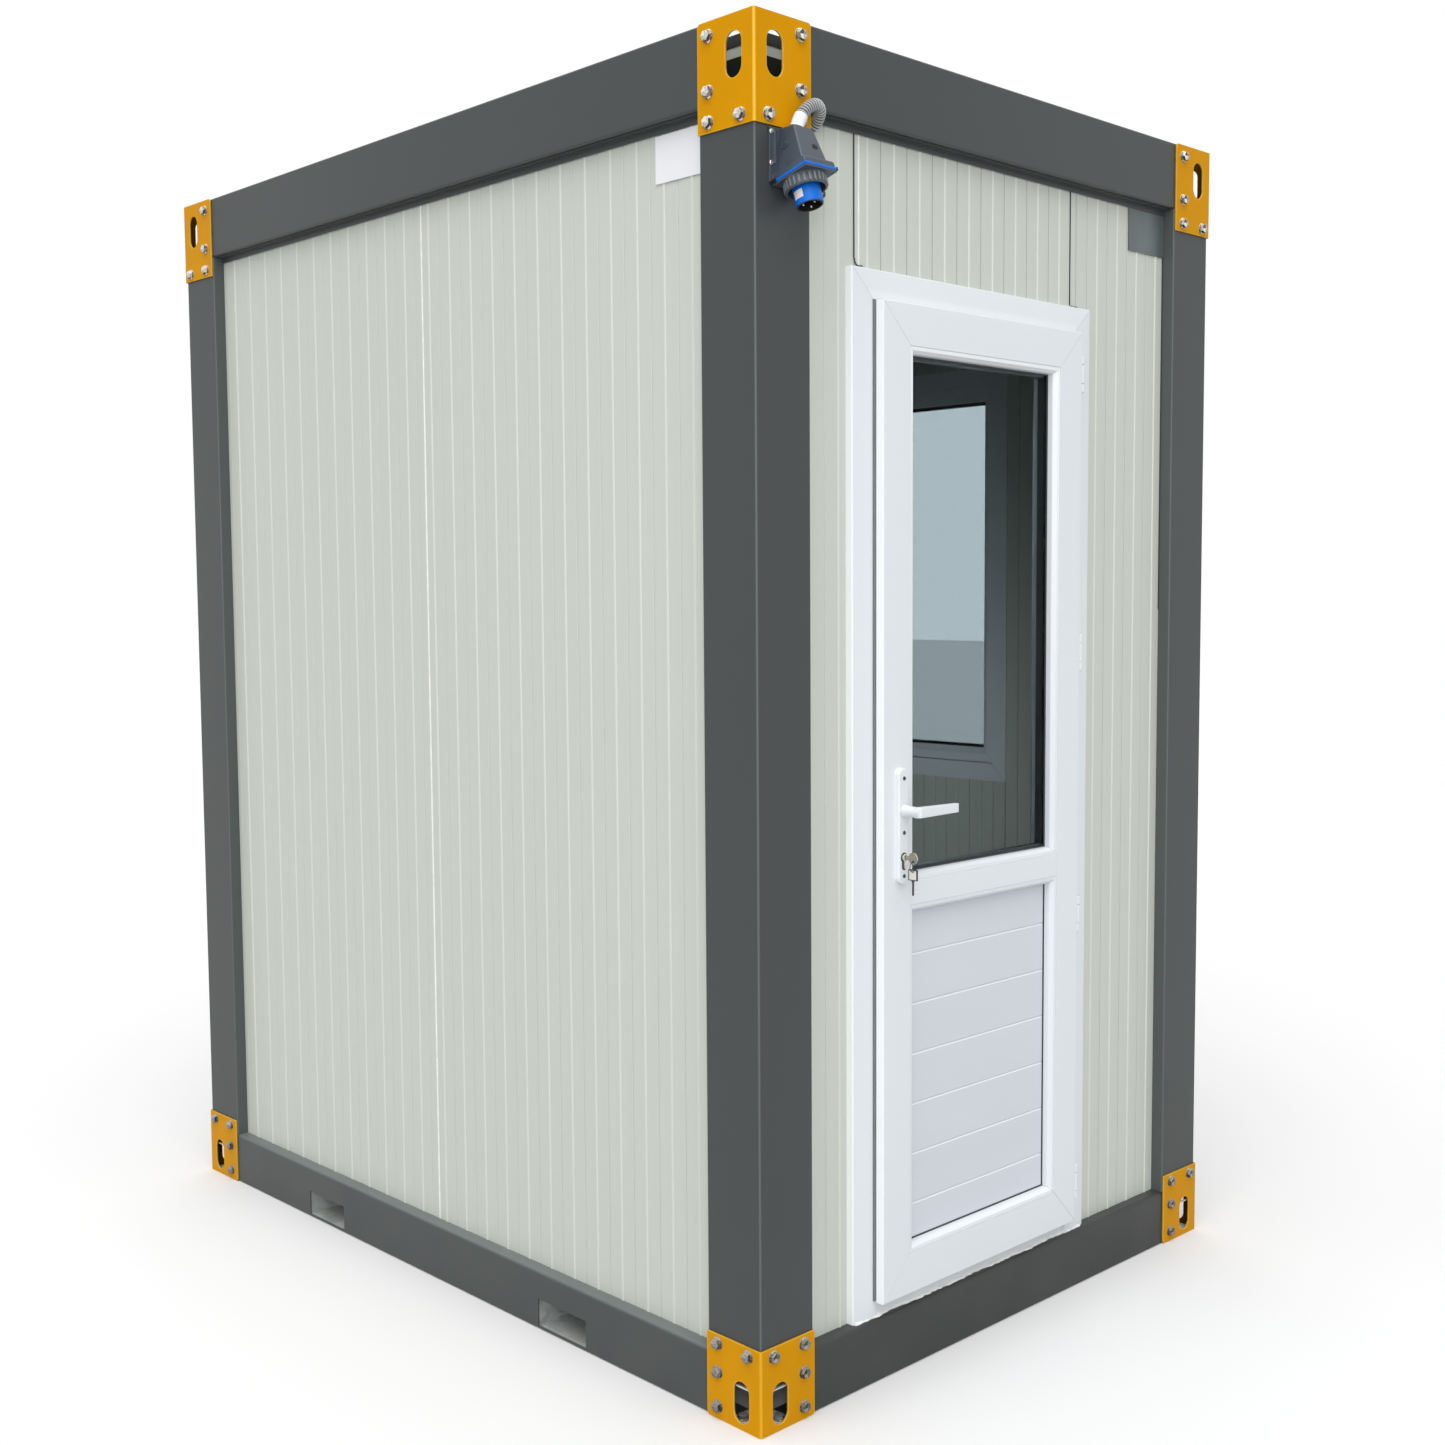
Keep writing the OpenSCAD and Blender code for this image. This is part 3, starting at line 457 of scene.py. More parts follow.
def infill_plastic():
    """Planks of the infill, with a faint drawn grain along them and a painted highlight on the grooves' lower
    lips.
    """
    return coat("Infill plastic", tone("infill"), 0.36, vary=0.02, scale=10.0, stretch=(0.12, 1, 1),
                grain=120.0, grain_stretch=(0.06, 1, 1), grain_depth=0.04,
                painted_light_tint=screen_tint(250, 252, 255), specular=0.35)


def rubber():
    """Dark rubber of the glazing seals, the seam lines, the strip of painted shade beside the right post and
    the torn tape.
    """
    return coat("Rubber", tone("rubber"), 0.6, vary=0.15, scale=30.0, grain_depth=0.1, specular=0.3)


def door_seal():
    """Paler seal between the leaf and its frame."""
    return coat("Door seal", screen_tint(112, 116, 120), 0.6, vary=0.1, scale=30.0, grain_depth=0.1,
                specular=0.3)


def zinc():
    """Zinc of the bolts: each facet is lighter or darker by the way it faces, as painted reflection, lighter
    where it faces up and darker where it faces down, as painted light and shade, and darker near the ground,
    as painted shade."""
    made, tree, shader = new_material("Zinc")
    if tree is None:
        return made
    tint = tone("zinc")
    normal = surface_normal(tree)
    mottle = place_group(tree, mottle_group(), scale=260.0)
    # A tint for each facet by its facing is painted reflection, and the upward part is painted light from
    # above
    facet = add_node(tree, "ShaderNodeVectorMath", {0: normal, 1: (0.4, 0.4, 0.4)},
                     operation="SNAP").outputs[0]
    flake = add_node(tree, "ShaderNodeTexWhiteNoise", {"Vector": facet}).outputs["Value"]
    level = calculate(tree, "MULTIPLY_ADD", mottle, 0.3, flake)
    shifted = calculate(tree, "MULTIPLY_ADD", upward(tree, normal), 0.6, level)
    painted_facet_light = ranged(tree, shifted, 0.3, 0.9)
    base = blend(tree, painted_facet_light, shaded(tint, 0.1), shaded(tint, 1.5))
    # Darker near the ground: painted shade
    painted_ground_shade = ranged(tree, upward(tree, object_spot(tree)), 0.1, 0.4, 0.68, 0.0)
    tree.links.new(blend(tree, painted_ground_shade, base, shaded(tint, 0.02)), shader.inputs["Base Color"])
    set_gloss(tree, shader, mottle, 0.16, 0.34)
    shader.inputs["Metallic"].default_value = 0.25
    return made


def spacer_metal():
    """Dull aluminium between the panes."""
    return metal("Spacer aluminium", screen_tint(120, 124, 124), 0.4, 0.5, scale=300.0, stretch=(1, 1, 0.02))


def nickel():
    """Nickel of the lock, and of the inlet's screws and pins."""
    return metal("Nickel", tone("nickel"), 0.2, 0.4, scale=200.0)


def key_metal():
    """Worn metal of the key in the lock."""
    return metal("Key metal", tone("key_metal"), 0.3, 0.45, scale=200.0)


def dark_steel():
    """Dark steel of the handle's screws, the key ring and the hanging key's shank."""
    return metal("Dark steel", tone("dark_steel"), 0.2, 0.4, scale=300.0)


def tag_plastic():
    """Pale plastic of the hanging key's bow and the bare sticker."""
    return coat("Tag plastic", tone("tag"), 0.35, vary=0.05, scale=60.0, grain_depth=0.03)


def foot_zinc():
    """Bright zinc plate of the feet and the stiffeners behind the plates."""
    return coat("Foot zinc", screen_tint(226, 227, 224), 0.4, vary=0.12, scale=60.0, grain_depth=0.05,
                dust=0.1)


def galvanised():
    """Hot-dipped zinc with its spangle."""
    made, tree, shader = new_material("Galvanised steel")
    if tree is None:
        return made
    cells = add_node(tree, "ShaderNodeTexVoronoi", {"Vector": object_spot(tree), "Scale": 75.0})
    flake = add_node(tree, "ShaderNodeSeparateColor", {0: cells.outputs["Color"]}).outputs[0]
    tint = tone("galvanised")
    spangled = blend(tree, flake, shaded(tint, 0.78), shaded(tint, 1.12))
    dust = calculate(tree, "MULTIPLY", place_group(tree, dust_group(), height=0.3), 0.4)
    tree.links.new(blend(tree, dust, spangled, DUST_TONE), shader.inputs["Base Color"])
    set_gloss(tree, shader, flake, 0.32, 0.55)
    shader.inputs["Metallic"].default_value = 0.2
    return made


def glass():
    """Clear glass with a faint cool tint."""
    made, tree, shader = new_material("Clear glass")
    if tree is None:
        return made
    shader.inputs["Base Color"].default_value = tone("glass")
    shader.inputs["Roughness"].default_value = 0.0
    shader.inputs["IOR"].default_value = 1.05
    shader.inputs["Transmission Weight"].default_value = 1.0
    return made


def inlet_grey():
    """Grained dark plastic of the inlet's housing, paler at its edges, partly from wear and partly as a
    painted highlight.
    """
    return coat("Inlet grey", tone("inlet_grey"), 0.42, vary=0.08, scale=40.0, grain=1400.0,
                grain_depth=0.08, dust=0.08, edge_wear_and_highlight=0.35, edge_wear_and_highlight_tint=screen_tint(120, 128, 136))


def inlet_ring_plastic():
    """Lighter grey plastic of the ribbed ring, with a painted highlight on the ribs' crests."""
    return coat("Inlet ring", tone("inlet_ring"), 0.42, vary=0.08, scale=60.0, grain_depth=0.05,
                painted_light_tint=screen_tint(110, 115, 120))


def inlet_blue():
    """Blue plastic of the plug and the gasket."""
    return coat("Inlet blue", tone("inlet_blue"), 0.35, vary=0.08, scale=40.0, grain=1400.0, grain_depth=0.06,
                specular=0.25)


def inlet_black():
    """Black plastic inside the plug and on the inlet's small dark parts; round the lock and in its keyway the
    black is painted shade of the recess, and the vent's black is painted shade of a small hole.
    """
    return coat("Inlet black", tone("inlet_black"), 0.5, vary=0.15, scale=60.0, specular=0.3)


def conduit_plastic():
    """Grey plastic of the corrugated conduit, with a painted highlight on the rings' crests."""
    return coat("Conduit plastic", tone("conduit"), 0.42, vary=0.08, scale=30.0, grain_depth=0.05,
                painted_light_tint=screen_tint(176, 179, 181))


def vinyl():
    """Speckled floor covering."""
    return coat("Floor vinyl", tone("vinyl"), 0.5, vary=0.35, scale=260.0, grain=500.0, dust=0.3)


def sealant():
    """Hand-drawn white sealant, a little soiled, and the seam strips, which are a painted highlight of the
    panels' edges at the seams.
    """
    return coat("Sealant", tone("sealant"), 0.5, vary=0.1, scale=45.0, grain=150.0, grain_depth=0.3)


def label_sheet():
    """Blank white label, and the white sleeve of the conduit."""
    return coat("Bare label", tone("label"), 0.3, vary=0.02, scale=10.0, grain_depth=0.02)


def dull_plate():
    """Blank blue-grey plate, clouded."""
    return coat("Bare plate", tone("dull_plate"), 0.35, vary=0.26, scale=9.0, stretch=(2, 1, 0.35),
                grain_depth=0.04)


# Shapes

# Points closer than this are one point
SAME = 1e-6
# How much nearer to the sharp corner a fold's middle is than its ends, as a share of its radius
FOLD_SHARE = 0.586


def axes(origin, along, across):
    """Matrix with local X along, local Y across and local Z square to both."""
    place = Matrix((along, across, along.cross(across))).transposed().to_4x4()
    place.translation = origin
    return place


def corner_place(signs, half_x, half_y, height=0.0):
    """Matrix that puts a shape drawn inwards from a corner into one of the four corners."""
    sign_x, sign_y = signs
    return Matrix(((-sign_x, 0, 0, sign_x * half_x),
                   (0, -sign_y, 0, sign_y * half_y),
                   (0, 0, 1, height),
                   (0, 0, 0, 1)))


def wall_place(side, face_x, face_y):
    """Matrix of a wall's face: local X along it from its middle, local Y inwards, local Z up."""
    along, inward = SIDES[side]
    face = face_y if inward.x == 0 else face_x
    return axes(-inward * face, along, inward)


def plan(points):
    """Points of an outline that is seen from above."""
    return [(x, y, 0.0) for x, y in points]


def section(points):
    """Points of an outline that is seen along X."""
    return [(0.0, y, z) for y, z in points]


def extruded(bm, faces, move):
    """Extrudes faces by a vector and gives back the new points."""
    made = bmesh.ops.extrude_face_region(bm, geom=faces)
    ends = [part for part in made["geom"] if isinstance(part, bmesh.types.BMVert)]
    bmesh.ops.translate(bm, verts=ends, vec=move)
    return ends


def add_prism(bm, outline, run, place=Matrix()):
    """Closed prism of an outline. Gives back its long edges, one for each point."""
    starts = [bm.verts.new(place @ Vector(point)) for point in outline]
    face = bm.faces.new(starts)
    ends = set(extruded(bm, [face], place.to_3x3() @ Vector(run)))
    return [next(e for e in v.link_edges if e.other_vert(v) in ends) for v in starts]


def add_box(bm, one, two):
    """Box between two opposite corners."""
    low = Vector([min(pair) for pair in zip(one, two)])
    high = Vector([max(pair) for pair in zip(one, two)])
    place = Matrix.Translation((low + high) / 2) @ Matrix.Diagonal((*(high - low), 1))
    return bmesh.ops.create_cube(bm, size=1.0, matrix=place)["verts"]


def edges_of(verts):
    """Edges between the points of one shape."""
    return {edge for vert in verts for edge in vert.link_edges}


def round_edges(bm, edges, radius, segments=2):
    """Rounds edges off."""
    bmesh.ops.bevel(bm, geom=list(edges), offset=radius, offset_type="OFFSET", segments=segments,
                    profile=0.5, affect="EDGES", clamp_overlap=True, material=-1)


def merge_points(bm):
    """Makes one point of those that coincide."""
    bmesh.ops.remove_doubles(bm, verts=bm.verts, dist=SAME)


def soften(bm, radius, segments=1, angle=40):
    """Rounds every edge that is sharper than an angle."""
    merge_points(bm)
    bmesh.ops.recalc_face_normals(bm, faces=bm.faces)
    limit = math.radians(angle)
    sharp = [e for e in bm.edges if e.is_manifold and e.calc_face_angle() > limit]
    round_edges(bm, sharp, radius, segments)


def sheet_outline(path, thick):
    """Closed outline of a bent sheet: the line of its outer face, and its thickness to the left of that."""
    line = [Vector(point) for point in path]
    inner = []
    for i, point in enumerate(line):
        before = line[max(i, 1)] - line[max(i, 1) - 1]
        after = line[min(i + 1, len(line) - 1)] - line[min(i, len(line) - 2)]
        sides = [Vector((-step.y, step.x)).normalized() for step in (before, after)]
        inner.append(point + (sides[0] + sides[1]) * thick / (1 + sides[0].dot(sides[1])))
    return line + inner[::-1]


def painted_light_layer(bm):
    """The points' marks of painted light: 0 is plain, 1 takes the full lighter tint."""
    return bm.verts.layers.float.get("painted_light") or bm.verts.layers.float.new("painted_light")


def mark_painted_light(bm, measure):
    """Marks each point with the painted light that a function of its place gives."""
    layer = painted_light_layer(bm)
    for vert in bm.verts:
        vert[layer] = max(vert[layer], min(1.0, measure(vert.co)))


def mark_painted_shade(bm, measure):
    """Marks the points of a plate's inner side, which gets painted shade."""
    layer = bm.verts.layers.float.new("lining")
    for vert in bm.verts:
        vert[layer] = measure(vert.co)


def add_folded(bm, path, thick, radii, local, run, place, painted_light=0.0):
    """Bent sheet with rounded folds, run along a direction. There is one radius for each fold. Where a share
    is given, the folds are marked for a painted highlight.
    """
    edges = add_prism(bm, local(sheet_outline(path, thick)), run, place)
    last = len(edges) - 1
    for i, radius in enumerate(radii, 1):
        round_edges(bm, [edges[i]], radius, 4)
        round_edges(bm, [edges[last - i]], max(radius - thick, 0.4 * MM), 3)
    if painted_light:
        ahead = (place.to_3x3() @ Vector(run)).normalized()
        for corner, radius in zip(local(path)[1:-1], radii):
            apex = place @ Vector(corner)
            full = FOLD_SHARE * radius
            mark_painted_light(bm, lambda spot: painted_light * (radius - (spot - apex).cross(ahead).length) / full)


def turn_round(bm, geometry, centre, axis, steps):
    """Turns points and edges all the way round an axis."""
    bmesh.ops.spin(bm, geom=geometry, cent=centre, axis=axis, dvec=(0, 0, 0), angle=math.tau, steps=steps,
                   use_merge=True)


def add_lathe(bm, profile, place=Matrix(), steps=32):
    """Shape turned round local Z from radius and height pairs."""
    verts = [bm.verts.new(place @ Vector((r, 0, h))) for r, h in profile]
    edges = [bm.edges.new(pair) for pair in zip(verts, verts[1:])]
    turn_round(bm, verts + edges, place.translation, place.to_3x3() @ Z, steps)


def rod(radius, height):
    """Outline of a plain rod, to be turned."""
    return [(0, 0), (radius, 0), (radius, height), (0, height)]


def add_bar(bm, outline, run, place, slopes=(1.0, 1.0), gap=0.0):
    """Bar along local X. Its outline has a distance from the outer edge and a height, and its ends slope
    by that distance where they are mitred."""
    starts = [bm.verts.new(place @ Vector((gap + u * slopes[0], u, w))) for u, w in outline]
    ends = extruded(bm, [bm.faces.new(starts)], (0, 0, 0))
    back = place.inverted()
    for vert in ends:
        spot = back @ vert.co
        spot.x = run - gap - spot.y * slopes[1]
        vert.co = place @ spot


def add_ring(bm, outline, origin, along, up, width, height, gap):
    """Four mitred bars round a rectangle."""
    far = origin + along * width + up * height
    bars = ((origin, along, up, width), (origin + along * width, up, -along, height),
            (far, -along, -up, width), (origin + up * height, -up, along, height))
    for start, run, inward, distance in bars:
        add_bar(bm, outline, distance, axes(start, run, inward), gap=gap)


def add_rect_tube(bm, width, height, wall, run, place):
    """Rectangular tube along local X: one end is inset, and the rim that is left is extruded."""
    corners = ((0, 0, 0), (0, width, 0), (0, width, height), (0, 0, height))
    bore = bm.faces.new([bm.verts.new(place @ Vector(corner)) for corner in corners])
    bore.normal_update()
    rim = bmesh.ops.inset_individual(bm, faces=[bore], thickness=wall, use_even_offset=True)["faces"]
    bmesh.ops.delete(bm, geom=[bore], context="FACES")
    extruded(bm, rim, place.to_3x3() @ Vector((run, 0, 0)))


def add_slot_cutter(bm, place, width, height, depth):
    """Upright slot with round ends, through local Y."""
    verts = add_box(bm, (-width / 2, -depth / 2, -height / 2), (width / 2, depth / 2, height / 2))
    through = [e for e in edges_of(verts) if abs(e.verts[0].co.y - e.verts[1].co.y) > depth / 2]
    before = set(bm.verts) - set(verts)
    round_edges(bm, through, width / 2 - 0.01 * MM, 8)
    bmesh.ops.transform(bm, matrix=place, verts=[v for v in bm.verts if v not in before])


def add_tube(bm, points, radii, sides=16):
    """Tube through rings of given radii round a line of points, closed at both ends."""
    rings = []
    for i, point in enumerate(points):
        ahead = (points[min(i + 1, len(points) - 1)] - points[max(i - 1, 0)]).normalized()
        side = ahead.cross(X if abs(ahead.x) < 0.9 else Y).normalized()
        place = axes(point, side, ahead.cross(side))
        circle = bmesh.ops.create_circle(bm, segments=sides, radius=radii[i], matrix=place,
                                         cap_ends=i in (0, len(points) - 1))
        rings.append(circle["verts"])
    for one, two in zip(rings, rings[1:]):
        loops = [e for ring in (one, two) for e in edges_of(ring)
                 if e.verts[0] in ring and e.verts[1] in ring]
        bmesh.ops.bridge_loops(bm, edges=loops)
    return rings


def smooth_line(points, count):
    """Points spread evenly along a smooth line through some given points."""
    line = [Vector(p) for p in points]
    dense = []
    for i in range(len(line) - 1):
        a, b, c, d = (line[max(0, min(len(line) - 1, i + k))] for k in (-1, 0, 1, 2))
        for step in range(20):
            t = step / 20
            dense.append(0.5 * (2 * b + (c - a) * t + (2 * a - 5 * b + 4 * c - d) * t * t
                                + (3 * b - a - 3 * c + d) * t ** 3))
    dense.append(line[-1])
    reach = [0.0]
    for a, b in zip(dense, dense[1:]):
        reach.append(reach[-1] + (b - a).length)
    spread = []
    k = 0
    for i in range(count):
        want = reach[-1] * i / (count - 1)
        while k < len(reach) - 2 and reach[k + 1] < want:
            k += 1
        share = (want - reach[k]) / max(reach[k + 1] - reach[k], 1e-9)
        spread.append(dense[k].lerp(dense[k + 1], share))
    return spread


def temporary(bm):
    """Scratch object of a bmesh, for an applied modifier."""
    bmesh.ops.recalc_face_normals(bm, faces=bm.faces)
    mesh = bpy.data.meshes.new("scratch")
    bm.to_mesh(mesh)
    bm.free()
    made = bpy.data.objects.new("scratch", mesh)
    bpy.context.scene.collection.objects.link(made)
    return made


def take_in(bm, part):
    """Adds one shape to another."""
    mesh = bpy.data.meshes.new("scratch")
    part.to_mesh(mesh)
    part.free()
    bm.from_mesh(mesh)
    bpy.data.meshes.remove(mesh)


def joined(parts):
    """Several shapes as one."""
    whole = bmesh.new()
    for part in parts:
        take_in(whole, part)
    return whole


def cut_away(bm, cutter):
    """The first shape with the second cut out of it."""
    body = temporary(bm)
    tool = temporary(cutter)
    cut = body.modifiers.new("Cut", "BOOLEAN")
    cut.operation = "DIFFERENCE"
    cut.solver = "EXACT"
    cut.object = tool
    graph = bpy.context.evaluated_depsgraph_get()
    mesh = bpy.data.meshes.new_from_object(body.evaluated_get(graph))
    made = bmesh.new()
    made.from_mesh(mesh)
    for scratch in (body, tool):
        data = scratch.data
        bpy.data.objects.remove(scratch)
        bpy.data.meshes.remove(data)
    bpy.data.meshes.remove(mesh)
    return made


def make_piece(name, bm, body, material, replaces=(), sharp=40):
    """Turns a bmesh into a finished piece that rides on a body."""
    merge_points(bm)
    bmesh.ops.recalc_face_normals(bm, faces=bm.faces)
    for face in bm.faces:
        face.smooth = True
    mesh = bpy.data.meshes.new(name)
    bm.to_mesh(mesh)
    bm.free()
    mesh.set_sharp_from_angle(angle=math.radians(sharp))
    mesh.materials.append(material)
    piece = bpy.data.objects.new(name, mesh)
    bpy.context.scene.collection.objects.link(piece)
    even = piece.modifiers.new("Even normals", "WEIGHTED_NORMAL")
    even.keep_sharp = True
    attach(piece, body)
    if replaces:
        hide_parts(*replaces)
    return piece


# Frame steel

# How much painted light the posts get: a painted highlight on the folds, and lighter returns
FOLD_HIGHLIGHT = 0.8
RETURN_LIGHT = 0.5
# How far a cut reaches to either side of a sheet
CUT_REACH = 15 * MM
# The floor beams' upper fold and ledge get painted light from this far below its top, and in full after this
# rise
LEDGE_LIGHT_LOW = 6 * MM
LEDGE_LIGHT_RUN = 4 * MM
# Shares of the frame paint's tone on the front floor beam, as painted shade, the other floor beams, as
# painted light, and the roof trims, whose dark tone is partly the cap's own and partly painted shade on the
# cleat
FRONT_BEAM_SHADE_SHARE = 0.68
FLOOR_BEAM_LIGHT_SHARE = 1.12
ROOF_TRIM_SHADE_SHARE = 0.3
LIP_FOLD = 1.5 * MM
LIP_REACH = 10 * MM


class BoothStep:
    """What every step of the booth shares."""
    bl_options = {"REGISTER", "UNDO"}


class BOOTH_OT_posts(BoothStep, bpy.types.Operator):
    """Folded corner posts with a return at each edge"""
    bl_idname = "booth.posts"
    bl_label = "Corner Posts"

    def execute(self, context):
        path = [(REVEAL, POST_W), (0, POST_W), (0, 0), (POST_W, 0), (POST_W, REVEAL)]
        radii = (sizes().post_fold,) * 3
        run = (0, 0, ROOF_LOW - BASE_TOP)
        for corner, signs in CORNERS.items():
            bm = bmesh.new()
            place = corner_place(signs, FRAME_X, FRAME_Y, BASE_TOP)
            # The folds get a painted highlight
            add_folded(bm, path, SHEET, radii, plan, run, place, FOLD_HIGHLIGHT)
            back = place.inverted()
            returns = POST_W - 0.1 * MM
            # The returns get painted light, as if lit from the side
            mark_painted_light(bm, lambda spot: RETURN_LIGHT if max((back @ spot)[:2]) > returns else 0.0)
            make_piece(f"{corner}_post_sheet", bm, "cabin", frame_paint(), [f"{corner}_post"])
        return {"FINISHED"}


def beam_place(side, half_length):
    """Matrix at one end of a beam: local X along it, local Y inwards from the frame's face."""
    along = SIDES[side][0]
    place = wall_place(side, FRAME_X, FRAME_Y)
    place.translation = place.translation - along * half_length
    return place


class BOOTH_OT_base_beams(BoothStep, bpy.types.Operator):
    """Folded floor beams, with the fork pockets through the side ones"""
    bl_idname = "booth.base_beams"
    bl_label = "Floor Beams"

    def execute(self, context):
        path = [(WALL_FLANGE, BASE_TOP), (0, BASE_TOP), (0, 0), (BASE_FLANGE, 0)]
        radii = (sizes().base_fold, sizes().roof_fold)
        for side in SIDES:
            half = BEAM_HIGH.x if side in ("front", "back") else SIDE_BEAM_HIGH.y
            bm = bmesh.new()
            add_folded(bm, path, SHEET, radii, section, (2 * half, 0, 0), beam_place(side, half))
            if side in ("left", "right"):
                cutter = bmesh.new()
                face = -FRAME_X if side == "left" else FRAME_X
                for y in (-FORK_Y, FORK_Y):
                    add_box(cutter, (face - CUT_REACH, y - FORK_W / 2, FORK_Z),
                            (face + CUT_REACH, y + FORK_W / 2, FORK_Z + FORK_H))
                bm = cut_away(bm, cutter)
            # The front beam takes a darker copy of the paint, which is painted shade, and the others a
            # lighter copy, which is painted light
            if side == "front":
                paint = frame_paint("Front beam paint, painted shade", FRONT_BEAM_SHADE_SHARE)
            else:
                paint = frame_paint("Floor beam paint, painted light", FLOOR_BEAM_LIGHT_SHARE)
                # The upper fold and ledge of the side and back beams get painted light
                mark_painted_light(bm, lambda spot: FOLD_HIGHLIGHT * (spot.z - BASE_TOP + LEDGE_LIGHT_LOW) / LEDGE_LIGHT_RUN)
            make_piece(f"base_{side}_beam_sheet", bm, "cabin", paint, [f"base_{side}_beam"])
        return {"FINISHED"}


class BOOTH_OT_roof_beams(BoothStep, bpy.types.Operator):
    """Folded roof beams with their gutter flange and drip lip"""
    bl_idname = "booth.roof_beams"
    bl_label = "Roof Beams"

    def execute(self, context):
        path = [(GUTTER_FLANGE, TOP), (0, TOP), (0, ROOF_LOW), (ROOF_FLANGE, ROOF_LOW)]
        fold = sizes().roof_fold
        lip_top = ROOF_LOW - SHEET / 4
        lip_path = [(REVEAL - SHEET, ROOF_LOW - DRIP_H), (REVEAL - SHEET, lip_top), (LIP_REACH, lip_top)]
        for side in SIDES:
            along_x = side in ("front", "back")
            half = BEAM_HIGH.x if along_x else SIDE_BEAM_HIGH.y
            bm = bmesh.new()
            add_folded(bm, path, SHEET, (fold, fold), section, (2 * half, 0, 0), beam_place(side, half))
            span = (FRAME_X if along_x else FRAME_Y) - POST_W
            lip_place = beam_place(side, span)
            add_folded(bm, lip_path, SHEET / 2, (LIP_FOLD,), section, (2 * span, 0, 0), lip_place)
            make_piece(f"top_{side}_beam_sheet", bm, "cabin", frame_paint(),
                       [f"top_{side}_beam"])
        return {"FINISHED"}


# Corner plates

TOP_SLOT_Z = TOP - 30 * MM - SLOT_H / 2
BASE_SLOT_Z = 12 * MM + SLOT_H / 2
SLOT_CUT = 20 * MM
CLIP = 7 * MM
# How much painted highlight the plates' folds get at the top and the base, and their rims
TOP_FOLD_HIGHLIGHT = 0.8
BASE_FOLD_HIGHLIGHT = 0.3
RIM_HIGHLIGHT = 0.85
# Share of a plate's thickness behind which its inner side gets painted shade
INNER_SHADE_SHARE = 0.6
# Square foot behind a base plate, and the stiffeners above it
FOOT_W = 94 * MM
FOOT_T = 5 * MM
RIB_Z = 75 * MM
RIB_T = 2.5 * MM
RIB_NEAR = PLATE_T + 3 * MM
RIB_FAR = PLATE_T + 9 * MM
RIB_START = 26 * MM
RIB_END = 80 * MM
# Places of the bolts in millimetres: distance from the corner and height, and two distances on a foot
TOP_BOLTS = ((115, 2524), (115, 2428), (115, 2375), (34, 2374))
BASE_BOLTS = ((114, 146), (114, 91), (114, 25), (33, 146))
FOOT_BOLTS = ((26, 74), (74, 26))


def bent_plate(signs, z0, z1, slot_z, clipped_z, fold_highlight):
    """Bent corner plate with a slot in each flange and its outer corners clipped at one end. Its fold and
    rims are marked for a painted highlight and its inner side for painted shade."""
    fold = sizes().plate_fold
    bm = bmesh.new()
    path = [(0, PLATE_W), (0, 0), (PLATE_W, 0)]
    local = corner_place((-1, -1), 0, 0, z0)
    add_folded(bm, path, PLATE_T, (fold,), plan, (0, 0, z1 - z0), local)
    outer = PLATE_W - SAME
    ends = [e for e in bm.edges
            if all(abs(v.co.z - clipped_z) < SAME and max(v.co.x, v.co.y) > outer for v in e.verts)]
    round_edges(bm, ends, CLIP, 3)
    middle = SLOT_INSET + SLOT_W / 2
    cutter = bmesh.new()
    straight = Matrix.Translation((middle, 0, slot_z))
    turned = Matrix.Translation((0, middle, slot_z)) @ Matrix.Rotation(math.pi / 2, 4, "Z")
    for place in (straight, turned):
        add_slot_cutter(cutter, place, SLOT_W, SLOT_H, SLOT_CUT)
    bm = cut_away(bm, cutter)
    soften(bm, 1.4 * MM, 2, 50)
    # Painted highlight on the fold and the rims, and painted shade on the inner side
    mark_painted_light(bm, lambda spot: fold_highlight * (fold - spot.xy.length) / (FOLD_SHARE * fold))
    mark_painted_light(bm, lambda spot: RIM_HIGHLIGHT if min(spot.xy) > 0.05 * MM and max(spot.xy) > fold + MM else 0.0)
    mark_painted_shade(bm, lambda spot: 1.0 if min(spot.xy) > INNER_SHADE_SHARE * PLATE_T else 0.0)
    bmesh.ops.transform(bm, matrix=corner_place(signs, PLATE_X, PLATE_Y), verts=bm.verts)
    return bm


def foot_shape(signs):
    """Square foot behind a base plate, with two stiffeners."""
    bm = bmesh.new()
    add_box(bm, (PLATE_T, PLATE_T, 0), (FOOT_W, FOOT_W, FOOT_T))
    add_box(bm, (RIB_NEAR, RIB_START, RIB_Z), (RIB_FAR, RIB_END, RIB_Z + RIB_T))
    add_box(bm, (RIB_START, RIB_NEAR, RIB_Z), (RIB_END, RIB_FAR, RIB_Z + RIB_T))
    soften(bm, 0.6 * MM)
    bmesh.ops.transform(bm, matrix=corner_place(signs, PLATE_X, PLATE_Y), verts=bm.verts)
    return bm


class BOOTH_OT_corner_plates(BoothStep, bpy.types.Operator):
    """Bent yellow plates at the eight corners, and the feet behind the lower ones"""
    bl_idname = "booth.corner_plates"
    bl_label = "Corner Plates"

    def execute(self, context):
        for end in ("front", "back"):
            pair = [signs for corner, signs in CORNERS.items() if corner.startswith(end)]
            tops = joined([bent_plate(s, TOP_PLATE_Z, TOP, TOP_SLOT_Z, TOP, TOP_FOLD_HIGHLIGHT) for s in pair])
            make_piece(f"{end}_top_bent_plates", tops, "cabin", plate_paint(),
                       [f"{end}_top_plates"])
            bases = joined([bent_plate(s, 0, BASE_PLATE_TOP, BASE_SLOT_Z, 0, BASE_FOLD_HIGHLIGHT) for s in pair])
            make_piece(f"{end}_base_bent_plates", bases, "cabin", plate_paint(),
                       [f"{end}_base_plates"])
            feet = joined([foot_shape(s) for s in pair])
            make_piece(f"{end}_feet", feet, "cabin", foot_zinc())
        return {"FINISHED"}


